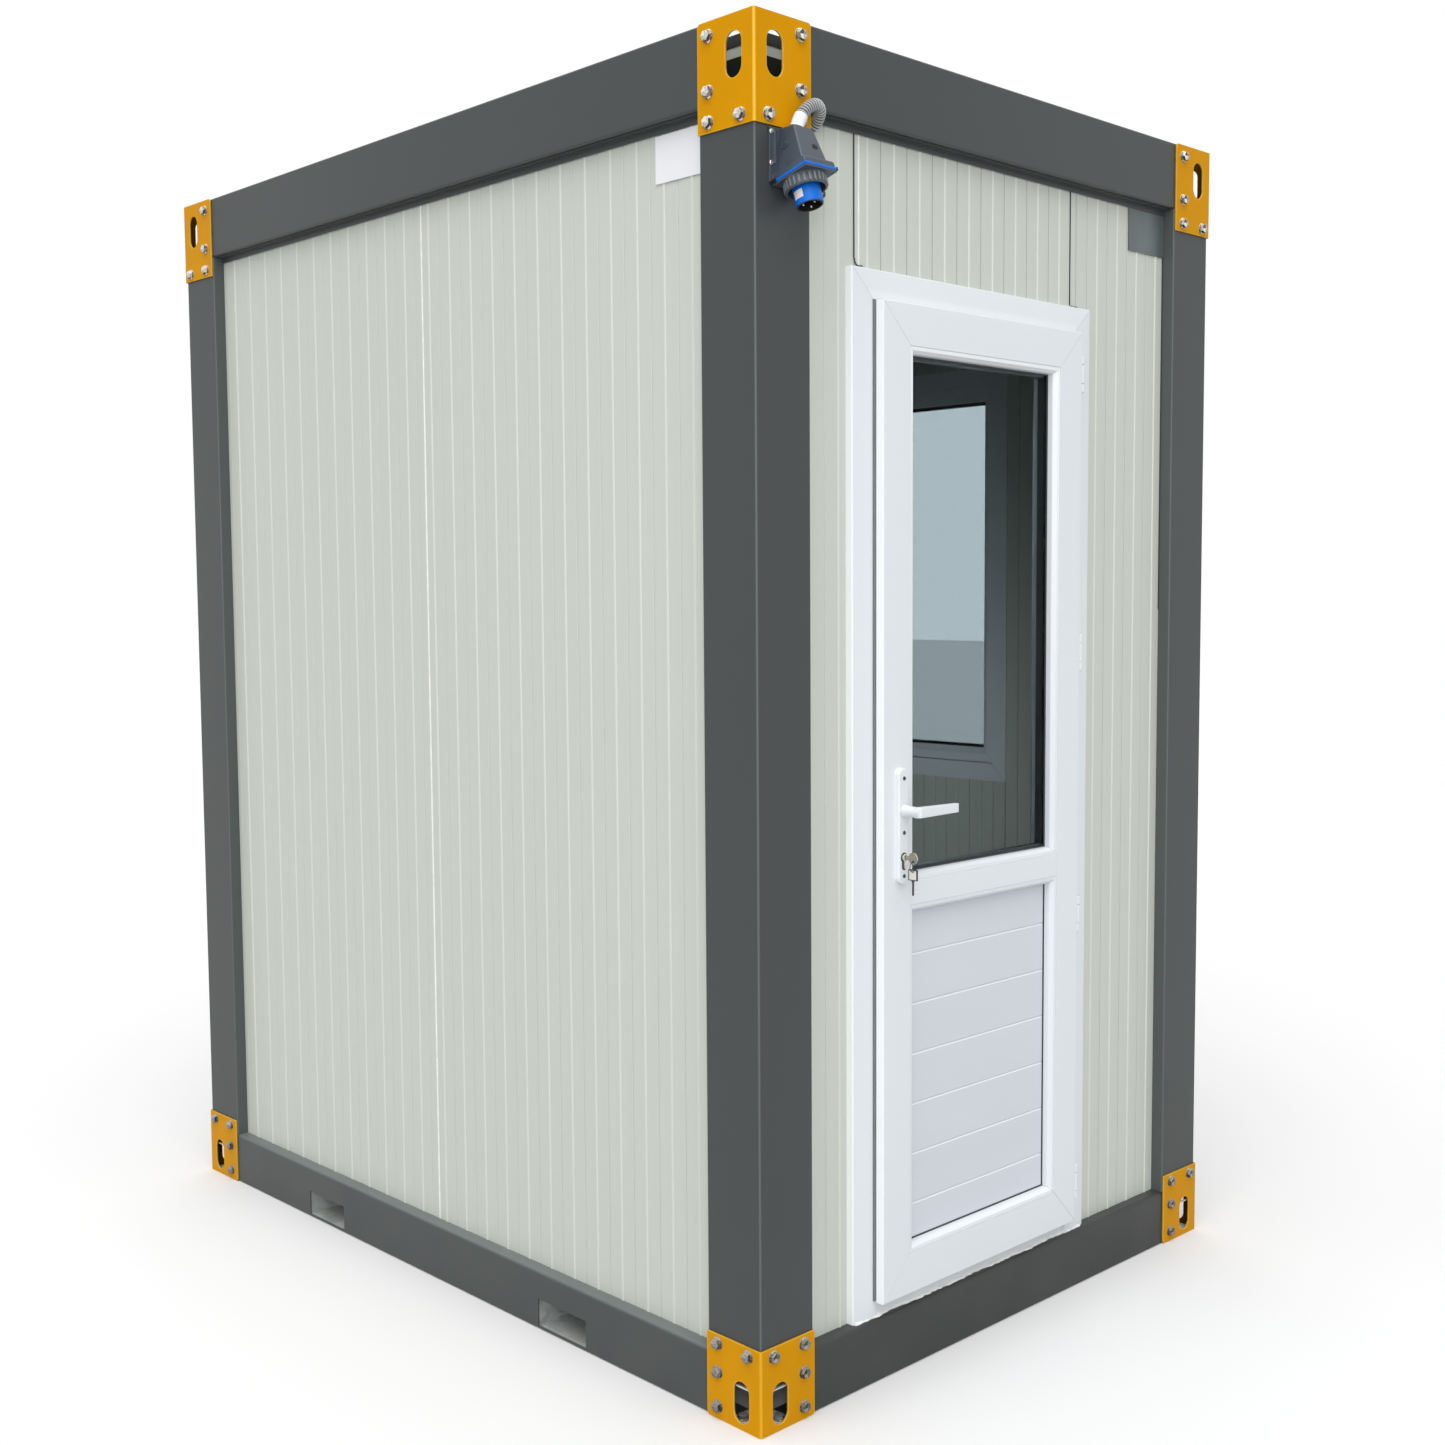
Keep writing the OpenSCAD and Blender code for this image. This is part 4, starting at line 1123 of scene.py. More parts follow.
def add_bolt(bm, place, turn):
    """Hexagon bolt with a flange, standing on local Z."""
    wide = sizes().bolt_flange
    head = sizes().bolt_head
    rise, tall = 3.2 * MM, 7 * MM
    add_lathe(bm, [(wide, -0.2 * MM), (wide, 1.2 * MM), (wide - 0.8 * MM, 1.9 * MM), (head - 0.6 * MM, rise),
                   (0, rise)], place, 24)
    spun = place @ Matrix.Translation((0, 0, rise + tall / 2 - 0.5 * MM)) @ Matrix.Rotation(turn, 4, "Z")
    hexagon = bmesh.ops.create_cone(bm, segments=6, radius1=head, radius2=head, depth=tall, cap_ends=True,
                                    matrix=spun)["verts"]
    top = spun @ Vector((0, 0, tall / 2))
    out = place.to_3x3() @ Z
    upper = [e for e in edges_of(hexagon) if all(abs((v.co - top).dot(out)) < 0.5 * MM for v in e.verts)]
    round_edges(bm, upper, 2.2 * MM, 2)


class BOOTH_OT_bolts(BoothStep, bpy.types.Operator):
    """Zinc bolts through the corner plates and the feet"""
    bl_idname = "booth.bolts"
    bl_label = "Corner Bolts"

    def execute(self, context):
        chance = random.Random(7)
        for corner, signs in CORNERS.items():
            for level, spots in (("top", TOP_BOLTS), ("base", BASE_BOLTS)):
                bm = bmesh.new()
                inward = [Vector((-signs[0], 0, 0)), Vector((0, -signs[1], 0))]
                apex = Vector((signs[0] * PLATE_X, signs[1] * PLATE_Y, 0))
                for flange in (0, 1):
                    run, out = inward[flange], -inward[1 - flange]
                    for reach, height in spots:
                        spot = apex + run * reach * MM + Z * height * MM
                        add_bolt(bm, axes(spot, Z.cross(out), Z), chance.uniform(0, 1))
                if level == "base":
                    for one, two in FOOT_BOLTS:
                        foot = apex + (inward[0] * one + inward[1] * two) * MM + Z * FOOT_T
                        add_bolt(bm, Matrix.Translation(foot), chance.uniform(0, 1))
                make_piece(f"{corner}_{level}_bolts", bm, "cabin", zinc(), sharp=25)
        return {"FINISHED"}


# Floor and roof

class BOOTH_OT_floor(BoothStep, bpy.types.Operator):
    """Floor panel, its joist and the galvanised fork ducts"""
    bl_idname = "booth.floor"
    bl_label = "Floor"

    def execute(self, context):
        low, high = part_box("floor_panel")
        bm = bmesh.new()
        add_box(bm, low, high)
        soften(bm, 1.5 * MM)
        make_piece("floor_covering", bm, "cabin", vinyl(), ["floor_panel"])
        low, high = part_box("floor_joist")
        bm = bmesh.new()
        add_rect_tube(bm, high.y - low.y, high.z - low.z, SHEET, high.x - low.x, axes(low, X, Y))
        soften(bm, 1.2 * MM, 2, 60)
        make_piece("floor_joist_tube", bm, "cabin", galvanised(), ["floor_joist"])
        low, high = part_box("fork_ducts")
        wide = (high.y - low.y) - 2 * FORK_Y
        bm = bmesh.new()
        for y in (-FORK_Y, FORK_Y):
            start = Vector((low.x, y - wide / 2, low.z))
            add_rect_tube(bm, wide, high.z - low.z, 4 * MM, high.x - low.x, axes(start, X, Y))
        soften(bm, 1.2 * MM, 2, 60)
        make_piece("fork_duct_tubes", bm, "cabin", galvanised(), ["fork_ducts"])
        return {"FINISHED"}


class BOOTH_OT_roof(BoothStep, bpy.types.Operator):
    """Roof panel with low ribs along it, joints in its ceiling, and trims round its edge"""
    bl_idname = "booth.roof"
    bl_label = "Roof"

    def execute(self, context):
        low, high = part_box("roof_panel")
        rib_h, foot, crest, count, joint = 14 * MM, 32 * MM, 20 * MM, 5, 2 * MM
        flat = high.z - rib_h
        pitch = (high.x - low.x) / count
        outline = [(low.x, low.z), (low.x, flat)]
        for i in range(count):
            x = low.x + pitch * (i + 0.5)
            outline += [(x - foot, flat), (x - crest, high.z), (x + crest, high.z), (x + foot, flat)]
        outline += [(high.x, flat), (high.x, low.z)]
        for i in range(count - 1, 0, -1):
            x = low.x + pitch * i
            outline += [(x + joint, low.z), (x, low.z + joint), (x - joint, low.z)]
        bm = bmesh.new()
        add_prism(bm, [(x, low.y, z) for x, z in outline], (0, high.y - low.y, 0))
        make_piece("roof_sheet", bm, "cabin", panel_skin(), ["roof_panel"], sharp=15)
        trim = bmesh.new()
        cap = [(-1.5 * MM, -2 * MM), (-1.5 * MM, 19 * MM), (0, 19 * MM), (0, 1.2 * MM), (25 * MM, 1.2 * MM),
               (25 * MM, 0), (0, 0), (0, -2 * MM)]
        cleat_t, cleat_low, cleat_h = 2.5 * MM, low.z - flat, 100 * MM
        cleat = [(-cleat_t, cleat_low), (-cleat_t, cleat_low + cleat_h), (0, cleat_low + cleat_h),
                 (0, cleat_low)]
        corner = Vector((low.x, low.y, flat))
        for outline in (cap, cleat):
            add_ring(trim, outline, corner, X, Y, high.x - low.x, high.y - low.y, 0.0)
        # The trims' dark tone is partly the cap's own and partly painted shade on the cleat, which is seen
        # through the corner slots
        paint = frame_paint("Roof trim paint", ROOF_TRIM_SHADE_SHARE)
        make_piece("roof_edge_trims", trim, "cabin", paint)
        return {"FINISHED"}


# Walls

# Side of each wall panel, and the place of one of its ribs along that side in millimetres
PANELS = {
    "left_wall_front_panel": ("left", 87),
    "left_wall_back_panel": ("left", -84),
    "back_wall": ("back", 0),
    "right_wall_front": ("right", 0),
    "right_wall_back": ("right", 0),
    "right_wall_under_window": ("right", 0),
    "right_wall_over_window": ("right", 0),
    "front_wall_left": ("front", -494),
    "front_wall_right": ("front", 342),
    "front_wall_over_door": ("front", -29),
}
# How dark the painted shade in a panel's grooves and seams is, where it isn't the plain share
GROOVE_SHADE_SHARES = {"front_wall_over_door": 1.0, "front_wall_right": 0.7}
PLAIN_GROOVE_SHADE = 0.35
SEAM_W = 1.8 * MM
SEAM_D = 5 * MM
# No rib or groove is closer than this to a panel's edge
EDGE_CLEAR = 6 * MM


def rib_steps(start, end, anchor):
    """Places of the ribs and of the grooves between them, in order, from one edge of a panel to the other."""
    half = sizes().rib_pitch / 2
    first = math.ceil((start + EDGE_CLEAR - anchor) / half)
    last = math.floor((end - EDGE_CLEAR - anchor) / half)
    return [(anchor + k * half, k % 2 == 0) for k in range(first, last + 1)]


def ribbed_line(start, end, anchor, face, out):
    """Outline of a ribbed skin along a wall. Out is 1 or -1, the way that depth grows towards outside."""
    s = sizes()
    top, flank, groove = s.rib_top / 2, s.rib_flank, s.groove_width / 2
    crest = face + out * s.rib_height
    dip = face - out * s.groove_depth
    line = [(start, face - out * SEAM_D), (start + SEAM_W, face)]
    for spot, raised in rib_steps(start, end, anchor):
        if raised:
            line += [(spot - top - flank, face), (spot - top, crest), (spot + top, crest),
                     (spot + top + flank, face)]
        else:
            line += [(spot - groove, face), (spot, dip), (spot + groove, face)]
    return line + [(end - SEAM_W, face), (end, face - out * SEAM_D)]


def mark_relief(bm, back, groove_shade_share):
    """Notes on each point how far it stands out of its skin, 1 on a rib, or lies back, -1 in a groove, the
    latter scaled by a share. The skin's paint turns these into painted highlight and painted shade.
    """
    layer = bm.verts.layers.float.new("relief")
    for vert in bm.verts:
        depth = (back @ vert.co).y
        out = -depth if depth < PANEL_T / 2 else depth - PANEL_T
        if out > 0:
            vert[layer] = out / sizes().rib_height
        else:
            vert[layer] = max(-1.0, out / sizes().groove_depth) * groove_shade_share


class BOOTH_OT_walls(BoothStep, bpy.types.Operator):
    """Sandwich panels with ribbed skins inside and outside"""
    bl_idname = "booth.walls"
    bl_label = "Wall Panels"

    def execute(self, context):
        for node, (side, anchor) in PANELS.items():
            place = wall_place(side, WALL_X, WALL_Y)
            back = place.inverted()
            low, high = (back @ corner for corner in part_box(node))
            start, end = sorted((low.x, high.x))
            outside = ribbed_line(start, end, anchor * MM, 0.0, -1)
            inside = ribbed_line(start, end, anchor * MM, PANEL_T, 1)
            bm = bmesh.new()
            run = (0, 0, high.z - low.z)
            add_prism(bm, plan(outside + inside[::-1]), run, place @ Matrix.Translation((0, 0, low.z)))
            mark_relief(bm, back, GROOVE_SHADE_SHARES.get(node, PLAIN_GROOVE_SHADE))
            make_piece(f"{node}_skin", bm, "cabin", panel_skin(), [node], sharp=12)
        return {"FINISHED"}


# Door

FACE_Y = LEAF_LOW.y
FRAME_FACE = 19 * MM
FRAME_W = 66 * MM
FRAME_LAP = 24 * MM
THRESHOLD_H = 40 * MM
STOP_W = 18 * MM
STOP_D = 15 * MM
STILE = 94 * MM
BOTTOM_RAIL = 98 * MM
LIP_T = 18 * MM
LIP_W = 20 * MM
LEAF_D = 70 * MM
HINGE_X = 237 * MM
HINGE_Y = -1050 * MM
HINGE_R = 7 * MM
HINGE_H = 78 * MM
HINGE_ZS = [z * MM for z in (243, 841, 1411, 2004)]
PIN_R = 2.5 * MM
# Width of the frame's trim without the wider jamb on the hinge side, and how much wider that one is
FRAME_SPAN = 760 * MM
HINGE_EXTRA = 8 * MM
# How far the sill's inner faces keep clear of the jambs' own
SILL_STEP = 0.5 * MM
# How much painted light the frame gets on the lower band of its head and along its outer left edge
FRAME_LIGHT = 0.7
PANE_T = 4 * MM
# How far glass and infill go in under the beads
UNDER = 9 * MM


class BOOTH_OT_door_frame(BoothStep, bpy.types.Operator):
    """Mitred plastic door frame with its threshold, seal and hinge ends"""
    bl_idname = "booth.door_frame"
    bl_label = "Door Frame"

    def execute(self, context):
        gap = sizes().mitre_gap
        low = Vector((FRONT_LOW.x, -WALL_Y, FRONT_LOW.z))
        high = Vector((FRONT_LOW.x + FRAME_SPAN + HINGE_EXTRA, -WALL_Y, FRONT_HIGH.z))
        tall, wide = high.z - low.z, high.x - low.x
        deep, stop, inner = -PANEL_T, STOP_D - PANEL_T, FRAME_W + STOP_W
        jamb = [(0, 0), (0, 13 * MM), (1 * MM, 15.2 * MM), (3 * MM, 16.2 * MM), (36 * MM, FRAME_FACE),
                (63 * MM, FRAME_FACE), (65.2 * MM, 18.2 * MM), (FRAME_W, 16 * MM), (FRAME_W, stop),
                (inner, stop), (inner, deep), (FRAME_LAP, deep), (FRAME_LAP, 0)]
        hinge_jamb = [(u + HINGE_EXTRA if u > 4 * MM else u, w) for u, w in jamb]
        mitre = (FRAME_W + HINGE_EXTRA) / FRAME_W
        bm = bmesh.new()
        add_bar(bm, jamb, wide, axes(high, -X, -Z), (mitre, 1.0), gap)
        # The head's lower band gets painted light
        edge_z, edge_y = high.z - 60 * MM, low.y - 10 * MM
        mark_painted_light(bm, lambda spot: FRAME_LIGHT if spot.z < edge_z and spot.y < edge_y else 0.0)
        right_foot = Vector((high.x, low.y, low.z))
        left_head = Vector((low.x, low.y, high.z))
        add_bar(bm, hinge_jamb, tall, axes(right_foot, Z, -X), (0.0, 1 / mitre), gap)
        add_bar(bm, jamb, tall, axes(left_head, -Z, X), (1.0, 0.0), gap)
        sill_deep, sill_stop, sill_top = deep + SILL_STEP, stop - SILL_STEP, THRESHOLD_H + STOP_W
        sill = [(0, sill_deep), (0, 15 * MM), (THRESHOLD_H - 3 * MM, 15 * MM), (THRESHOLD_H, 12 * MM),
                (THRESHOLD_H, sill_stop), (sill_top, sill_stop), (sill_top, sill_deep)]
        clear = Vector((low.x + FRAME_W, low.y, low.z))
        add_bar(bm, sill, wide - HINGE_EXTRA - 2 * FRAME_W, axes(clear, X, Z), (0.0, 0.0), gap)
        # A painted highlight along the frame's outer left edge
        mark_painted_light(bm, lambda spot: FRAME_LIGHT if spot.x < low.x + 2 * MM else 0.0)
        self.hinge_ends(bm, low.y - FRAME_FACE)
        make_piece("door_frame_bars", bm, "cabin", upvc(), ["door_frame"])
        seal = bmesh.new()
        strip = [(0, 0), (0, 3 * MM), (2 * MM, 5.2 * MM), (9 * MM, 5.2 * MM), (9 * MM, 0)]
        proud, inset = 3.5 * MM, 3 * MM
        origin = Vector((LEAF_LOW.x - proud, low.y - FRAME_FACE, LEAF_LOW.z + inset))
        add_ring(seal, strip, origin, X, Z, LEAF_HIGH.x - LEAF_LOW.x + proud - inset,
                 LEAF_HIGH.z - LEAF_LOW.z - inset + MM, 0.0)
        make_piece("door_frame_seal", seal, "cabin", door_seal())
        return {"FINISHED"}

    def hinge_ends(self, bm, face_y):
        """Outer barrels of the hinges, on the frame's face, and the pins through them."""
        end_h, chamfer = HINGE_H / 4 - 0.9 * MM, 1.5 * MM
        barrel = [(0, 0), (HINGE_R - chamfer, 0), (HINGE_R, chamfer), (HINGE_R, end_h - chamfer),
                  (HINGE_R - chamfer, end_h), (0, end_h)]
        for z in HINGE_ZS:
            for z0 in (z - HINGE_H / 2, z + HINGE_H / 2 - end_h):
                add_lathe(bm, barrel, Matrix.Translation((HINGE_X, HINGE_Y, z0)), 20)
                add_box(bm, (HINGE_X, HINGE_Y, z0 + MM), (HINGE_X + HINGE_R - MM, face_y, z0 + end_h - MM))
            add_lathe(bm, rod(PIN_R, HINGE_H), Matrix.Translation((HINGE_X, HINGE_Y, z - HINGE_H / 2)), 12)


def bead_rings(bm, low, high, face, back, glass_front, glass_back):
    """Glazing beads on both sides of an opening in the front, low and high being the opening's corners."""
    wide = sizes().bead_width
    gap = sizes().mitre_gap
    outer = [(0, glass_front), (0, face - 2 * MM), (1.2 * MM, face - 0.8 * MM), (8 * MM, face - 1.6 * MM),
             (wide - 1.5 * MM, face - 9 * MM), (wide, face - 11 * MM), (wide, glass_front)]
    inner = [(0, glass_back), (wide, glass_back), (wide, back + wide - 2 * MM),
             (wide - 2 * MM, back + wide - 4 * MM), (3 * MM, back + 0.8 * MM), (1.2 * MM, back + 0.8 * MM),
             (0, back + 2 * MM)]
    origin = Vector((low.x - wide, FACE_Y, low.z - wide))
    for outline in (outer, inner):
        add_ring(bm, outline, origin, X, Z, high.x - low.x + 2 * wide, high.z - low.z + 2 * wide, gap)


def seal_strip(out=1):
    """Outline of a thin seal that stands out of a pane, one way or the other."""
    return [(0, 0), (0, out * 2 * MM), (2.6 * MM, out * 1.4 * MM), (3 * MM, 0)]


class BOOTH_OT_door_leaf(BoothStep, bpy.types.Operator):
    """Mitred bars of the door leaf, its middle rail, glazing beads and seals"""
    bl_idname = "booth.door_leaf"
    bl_label = "Door Leaf"

    def execute(self, context):
        s = sizes()
        gap = s.mitre_gap
        side_w = STILE - s.bead_width
        foot_w = BOTTOM_RAIL - s.bead_width

        def bar(wide):
            return [(0, -LIP_T), (0, -3 * MM), (0.9 * MM, -0.9 * MM), (3 * MM, 0), (wide, 0), (wide, -LEAF_D),
                    (LIP_W, -LEAF_D), (LIP_W, -LIP_T)]

        low = Vector((LEAF_LOW.x, FACE_Y, LEAF_LOW.z))
        high = Vector((LEAF_HIGH.x, FACE_Y, LEAF_HIGH.z))
        wide, tall = high.x - low.x, high.z - low.z
        bm = bmesh.new()
        right_foot = Vector((high.x, FACE_Y, low.z))
        left_head = Vector((low.x, FACE_Y, high.z))
        slope = foot_w / side_w
        add_bar(bm, bar(foot_w), wide, axes(low, X, Z), (side_w / foot_w, side_w / foot_w), gap)
        add_bar(bm, bar(side_w), tall, axes(right_foot, Z, -X), (slope, 1.0), gap)
        add_bar(bm, bar(side_w), wide, axes(high, -X, -Z), (1.0, 1.0), gap)
        add_bar(bm, bar(side_w), tall, axes(left_head, -Z, X), (1.0, slope), gap)
        rail_low = INFILL_HIGH.z + s.bead_width
        rail_h = GLASS_LOW.z - s.bead_width - rail_low
        rail_face, rail_back, chamfer = -0.4 * MM, -LEAF_D + 0.4 * MM, 0.8 * MM
        rail = [(0, rail_back), (0, rail_face - chamfer), (chamfer, rail_face), (rail_h - chamfer, rail_face),
                (rail_h, rail_face - chamfer), (rail_h, rail_back)]
        start = Vector((low.x + side_w, FACE_Y, rail_low))
        add_bar(bm, rail, wide - 2 * side_w, axes(start, X, Z), (0.0, 0.0), gap)
        glass_front = FACE_Y - GLASS_LOW.y
        glass_back = FACE_Y - GLASS_HIGH.y
        for corners in ((GLASS_LOW, GLASS_HIGH), (INFILL_LOW, INFILL_HIGH)):
            bead_rings(bm, *corners, 0.0, -LEAF_D, glass_front, glass_back)
        # Painted light on the bead over the glass, and a painted highlight along the leaf's left edge
        bead_top = GLASS_HIGH.z + s.bead_width - MM
        mark_painted_light(bm, lambda spot: 0.6 if GLASS_HIGH.z - MM < spot.z < bead_top else 0.0)
        mark_painted_light(bm, lambda spot: 0.8 if spot.x < low.x + 1.5 * MM else 0.0)
        make_piece("door_leaf_bars", bm, "door", upvc(), ["door_leaf"])
        seals = bmesh.new()
        for a, b in ((GLASS_LOW, GLASS_HIGH), (INFILL_LOW, INFILL_HIGH)):
            add_ring(seals, seal_strip(), a, X, Z, b.x - a.x, b.z - a.z, 0.0)
        make_piece("door_glazing_seals", seals, "door", rubber())
        return {"FINISHED"}


def glazing_unit(name, body, low, high, thin, replaces):
    """Two panes with a spacer between them. Thin is the axis across the unit."""
    grow = Vector([0 if k == thin else UNDER for k in range(3)])
    bm = bmesh.new()
    for near in (low[thin], high[thin] - PANE_T):
        a, b = low - grow, high + grow
        a[thin], b[thin] = near, near + PANE_T
        add_box(bm, a, b)
    make_piece(f"{name}_panes", bm, body, glass(), replaces)
    bm = bmesh.new()
    along = X if thin == 1 else Y
    wide, inset, clear = 11 * MM, 4 * MM, 0.1 * MM
    deep = high[thin] - low[thin] - 2 * PANE_T
    origin = low - grow * (inset / UNDER)
    origin[thin] = high[thin] - PANE_T if thin == 1 else low[thin] + PANE_T
    strip = [(0, clear), (wide, clear), (wide, deep - clear), (0, deep - clear)]
    span = high - low
    add_ring(bm, strip, origin, along, Z, span.dot(along) + 2 * inset, span.z + 2 * inset, 0.0)
    make_piece(f"{name}_spacer", bm, body, spacer_metal())


class BOOTH_OT_door_glazing(BoothStep, bpy.types.Operator):
    """Double glazing and planked infill of the door"""
    bl_idname = "booth.door_glazing"
    bl_label = "Door Glazing"

    def execute(self, context):
        glazing_unit("door_glass", "door", GLASS_LOW, GLASS_HIGH, 1, ["door_glass"])
        pitch = sizes().plank_pitch
        first, last = 88 * MM, 30 * MM
        half, deep, lip = 2.2 * MM, 2.2 * MM, 1.2 * MM
        front, back = INFILL_LOW.y, INFILL_HIGH.y
        grooves = []
        z = INFILL_HIGH.z - first
        while z > INFILL_LOW.z + last:
            grooves.append(z)
            z -= pitch
        outline = [(back, INFILL_HIGH.z + UNDER), (front, INFILL_HIGH.z + UNDER)]
        for z in grooves:
            outline += [(front, z + half), (front + deep, z), (front, z - half), (front, z - half - lip)]
        outline += [(front, INFILL_LOW.z - UNDER), (back, INFILL_LOW.z - UNDER)]
        for z in reversed(grooves):
            outline += [(back, z - half), (back - deep, z), (back, z + half)]
        bm = bmesh.new()
        add_prism(bm, section(outline), (INFILL_HIGH.x - INFILL_LOW.x + 2 * UNDER, 0, 0),
                  Matrix.Translation((INFILL_LOW.x - UNDER, 0, 0)))
        # The grooves' lower lips get a painted highlight
        lips = [z - half for z in grooves]
        near = 0.1 * MM
        mark_painted_light(bm, lambda spot: 0.7 if spot.y < front + near
                 and min(abs(spot.z - z) for z in lips) < near else 0.0)
        make_piece("door_infill_planks", bm, "door", infill_plastic(), ["door_infill"],
                   sharp=20)
        return {"FINISHED"}


class BOOTH_OT_hinges(BoothStep, bpy.types.Operator):
    """Middle barrels of the hinges, on the leaf"""
    bl_idname = "booth.hinges"
    bl_label = "Door Hinges"

    def execute(self, context):
        bm = bmesh.new()
        tall, bore, half_leaf = HINGE_H / 2, 2.8 * MM, 3 * MM
        barrel = [(bore, 0), (HINGE_R - MM, 0), (HINGE_R, MM), (HINGE_R, tall - MM), (HINGE_R - MM, tall),
                  (bore, tall), (bore, 0)]
        for z in HINGE_ZS:
            z0 = z - tall / 2
            add_lathe(bm, barrel, Matrix.Translation((HINGE_X, HINGE_Y, z0)), 20)
            add_box(bm, (LEAF_HIGH.x - MM, HINGE_Y - half_leaf, z0 + MM),
                    (HINGE_X - bore - MM, HINGE_Y + half_leaf, z0 + tall - MM))
        make_piece("door_hinge_barrels", bm, "door", upvc(), ["door_hinges"])
        return {"FINISHED"}


# Handle, lock and keys

HANDLE_X = (HANDLE_LOW.x + HANDLE_HIGH.x) / 2
HANDLE_W = HANDLE_HIGH.x - HANDLE_LOW.x
SPINDLE_Z = 1124 * MM
SPINDLE_R = 4.5 * MM
LOCK_Z = 1034 * MM
SCREW_ZS = [z * MM for z in (1187, 1082, 998)]
OUTER_PLATE_Y = HANDLE_LOW.y
INNER_PLATE_Y = HANDLE_HIGH.y
LEAF_BACK = LEAF_HIGH.y
CYLINDER_OUT = 4 * MM


def handle_plate_shape(bm, base_y, face_y):
    """Oblong plate with rounded corners and a soft edge round its face."""
    half = HANDLE_W / 2
    verts = add_box(bm, (HANDLE_X - half, base_y, HANDLE_LOW.z), (HANDLE_X + half, face_y, HANDLE_HIGH.z))
    corners = [e for e in edges_of(verts) if abs(e.verts[0].co.y - e.verts[1].co.y) > MM]
    kept = set(bm.verts) - set(verts)
    round_edges(bm, corners, 13.4 * MM, 8)
    rim = [e for e in bm.edges
           if not kept.intersection(e.verts) and all(abs(v.co.y - face_y) < SAME for v in e.verts)]
    round_edges(bm, rim, 3.6 * MM, 4)


def add_screw(bm, place):
    """Countersunk screw head with a cross recess, on local Z."""
    head = bmesh.new()
    add_lathe(head, [(0, -MM), (4 * MM, -MM), (4 * MM, 0.5 * MM), (3.2 * MM, 1.5 * MM), (0, 1.9 * MM)],
              steps=20)
    merge_points(head)
    long, narrow, low, high = 2.3 * MM, 0.5 * MM, 0.6 * MM, 4 * MM
    for x, y in ((long, narrow), (narrow, long)):
        cross = bmesh.new()
        add_box(cross, (-x, -y, low), (x, y, high))
        head = cut_away(head, cross)
    bmesh.ops.transform(head, matrix=place, verts=head.verts)
    take_in(bm, head)


class BOOTH_OT_handle_plates(BoothStep, bpy.types.Operator):
    """Handle plates on both sides of the door, with their screws"""
    bl_idname = "booth.handle_plates"
    bl_label = "Handle Plates"

    def execute(self, context):
        bm = bmesh.new()
        handle_plate_shape(bm, LEAF_LOW.y, OUTER_PLATE_Y)
        handle_plate_shape(bm, LEAF_BACK, INNER_PLATE_Y)
        # The plates' left side gets painted light
        mark_painted_light(bm, lambda spot: 0.25 if spot.x < HANDLE_X - HANDLE_W / 2 + 2.4 * MM else 0.0)
        make_piece("handle_plate_covers", bm, "door", upvc(), ["handle_plates"])
        screws = bmesh.new()
        for z in SCREW_ZS:
            add_screw(screws, axes(Vector((HANDLE_X, OUTER_PLATE_Y, z)), X, Z))
            add_screw(screws, axes(Vector((HANDLE_X, INNER_PLATE_Y, z)), -X, Z))
        make_piece("handle_plate_screws", screws, "door", dark_steel(), sharp=25)
        return {"FINISHED"}


def lever_shape(bm, plate_y, out):
    """Round neck and a flat, square-ended arm that starts with a rounded elbow, on one side of the door."""
    gap, neck, reach, thick = 0.5 * MM, 10.4 * MM, 44 * MM, 14 * MM
    across = Z if out < 0 else -Z
    place = axes(Vector((HANDLE_X, plate_y + out * gap, SPINDLE_Z)), X, across)
    add_lathe(bm, [(0, 0), (12.8 * MM, 0), (13 * MM, 1 * MM), (12.6 * MM, 4 * MM), (11.2 * MM, 10 * MM),
                   (neck, 18 * MM), (neck, reach - thick / 2), (neck - 1.5 * MM, reach - 3 * MM),
                   (0, reach - 2.5 * MM)], place, 32)
    face = plate_y + out * (gap + reach)
    back = face - out * thick
    elbow_x, taper, thinning = HANDLE_X - neck * 0.75, 0.85, 3 * MM
    verts = add_box(bm, (elbow_x, back, SPINDLE_Z - neck), (LEVER_HIGH.x, face, SPINDLE_Z + neck))
    kept = set(bm.verts) - set(verts)
    for vert in verts:
        if vert.co.x > HANDLE_X + neck:
            vert.co.z = SPINDLE_Z + (vert.co.z - SPINDLE_Z) * taper
            if abs(vert.co.y - back) < SAME:
                vert.co.y += out * thinning
    elbow = [e for e in edges_of(verts)
             if all(v.co.x < HANDLE_X and abs(v.co.y - face) < SAME for v in e.verts)]
    round_edges(bm, elbow, 9.5 * MM, 6)
    bmesh.ops.recalc_face_normals(bm, faces=[f for f in bm.faces if not kept.intersection(f.verts)])
    sharp = [e for e in bm.edges if not kept.intersection(e.verts) and e.is_manifold
             and e.calc_face_angle() > math.radians(35)]
    round_edges(bm, sharp, 1.8 * MM, 3)


class BOOTH_OT_lever(BoothStep, bpy.types.Operator):
    """Lever handles on both sides of the door, with their collars and spindle"""
    bl_idname = "booth.lever"
    bl_label = "Lever Handles"

    def execute(self, context):
        bm = bmesh.new()
        for plate_y, out in ((OUTER_PLATE_Y, -1), (INNER_PLATE_Y, 1)):
            lever_shape(bm, plate_y, out)
        place = axes(Vector((HANDLE_X, INNER_PLATE_Y, SPINDLE_Z)), X, Z)
        add_lathe(bm, rod(SPINDLE_R, INNER_PLATE_Y - OUTER_PLATE_Y), place, 16)
        make_piece("lever_arms", bm, "lever", upvc(), ["lever_handles"], sharp=35)
        return {"FINISHED"}


def hole_cutter(middle, radius, reach):
    """Round cutter along X that reaches to both sides of a point."""
    cutter = bmesh.new()
    add_lathe(cutter, rod(radius, 2 * reach), axes(middle - X * reach, Y, Z), 20)
    merge_points(cutter)
    return cutter


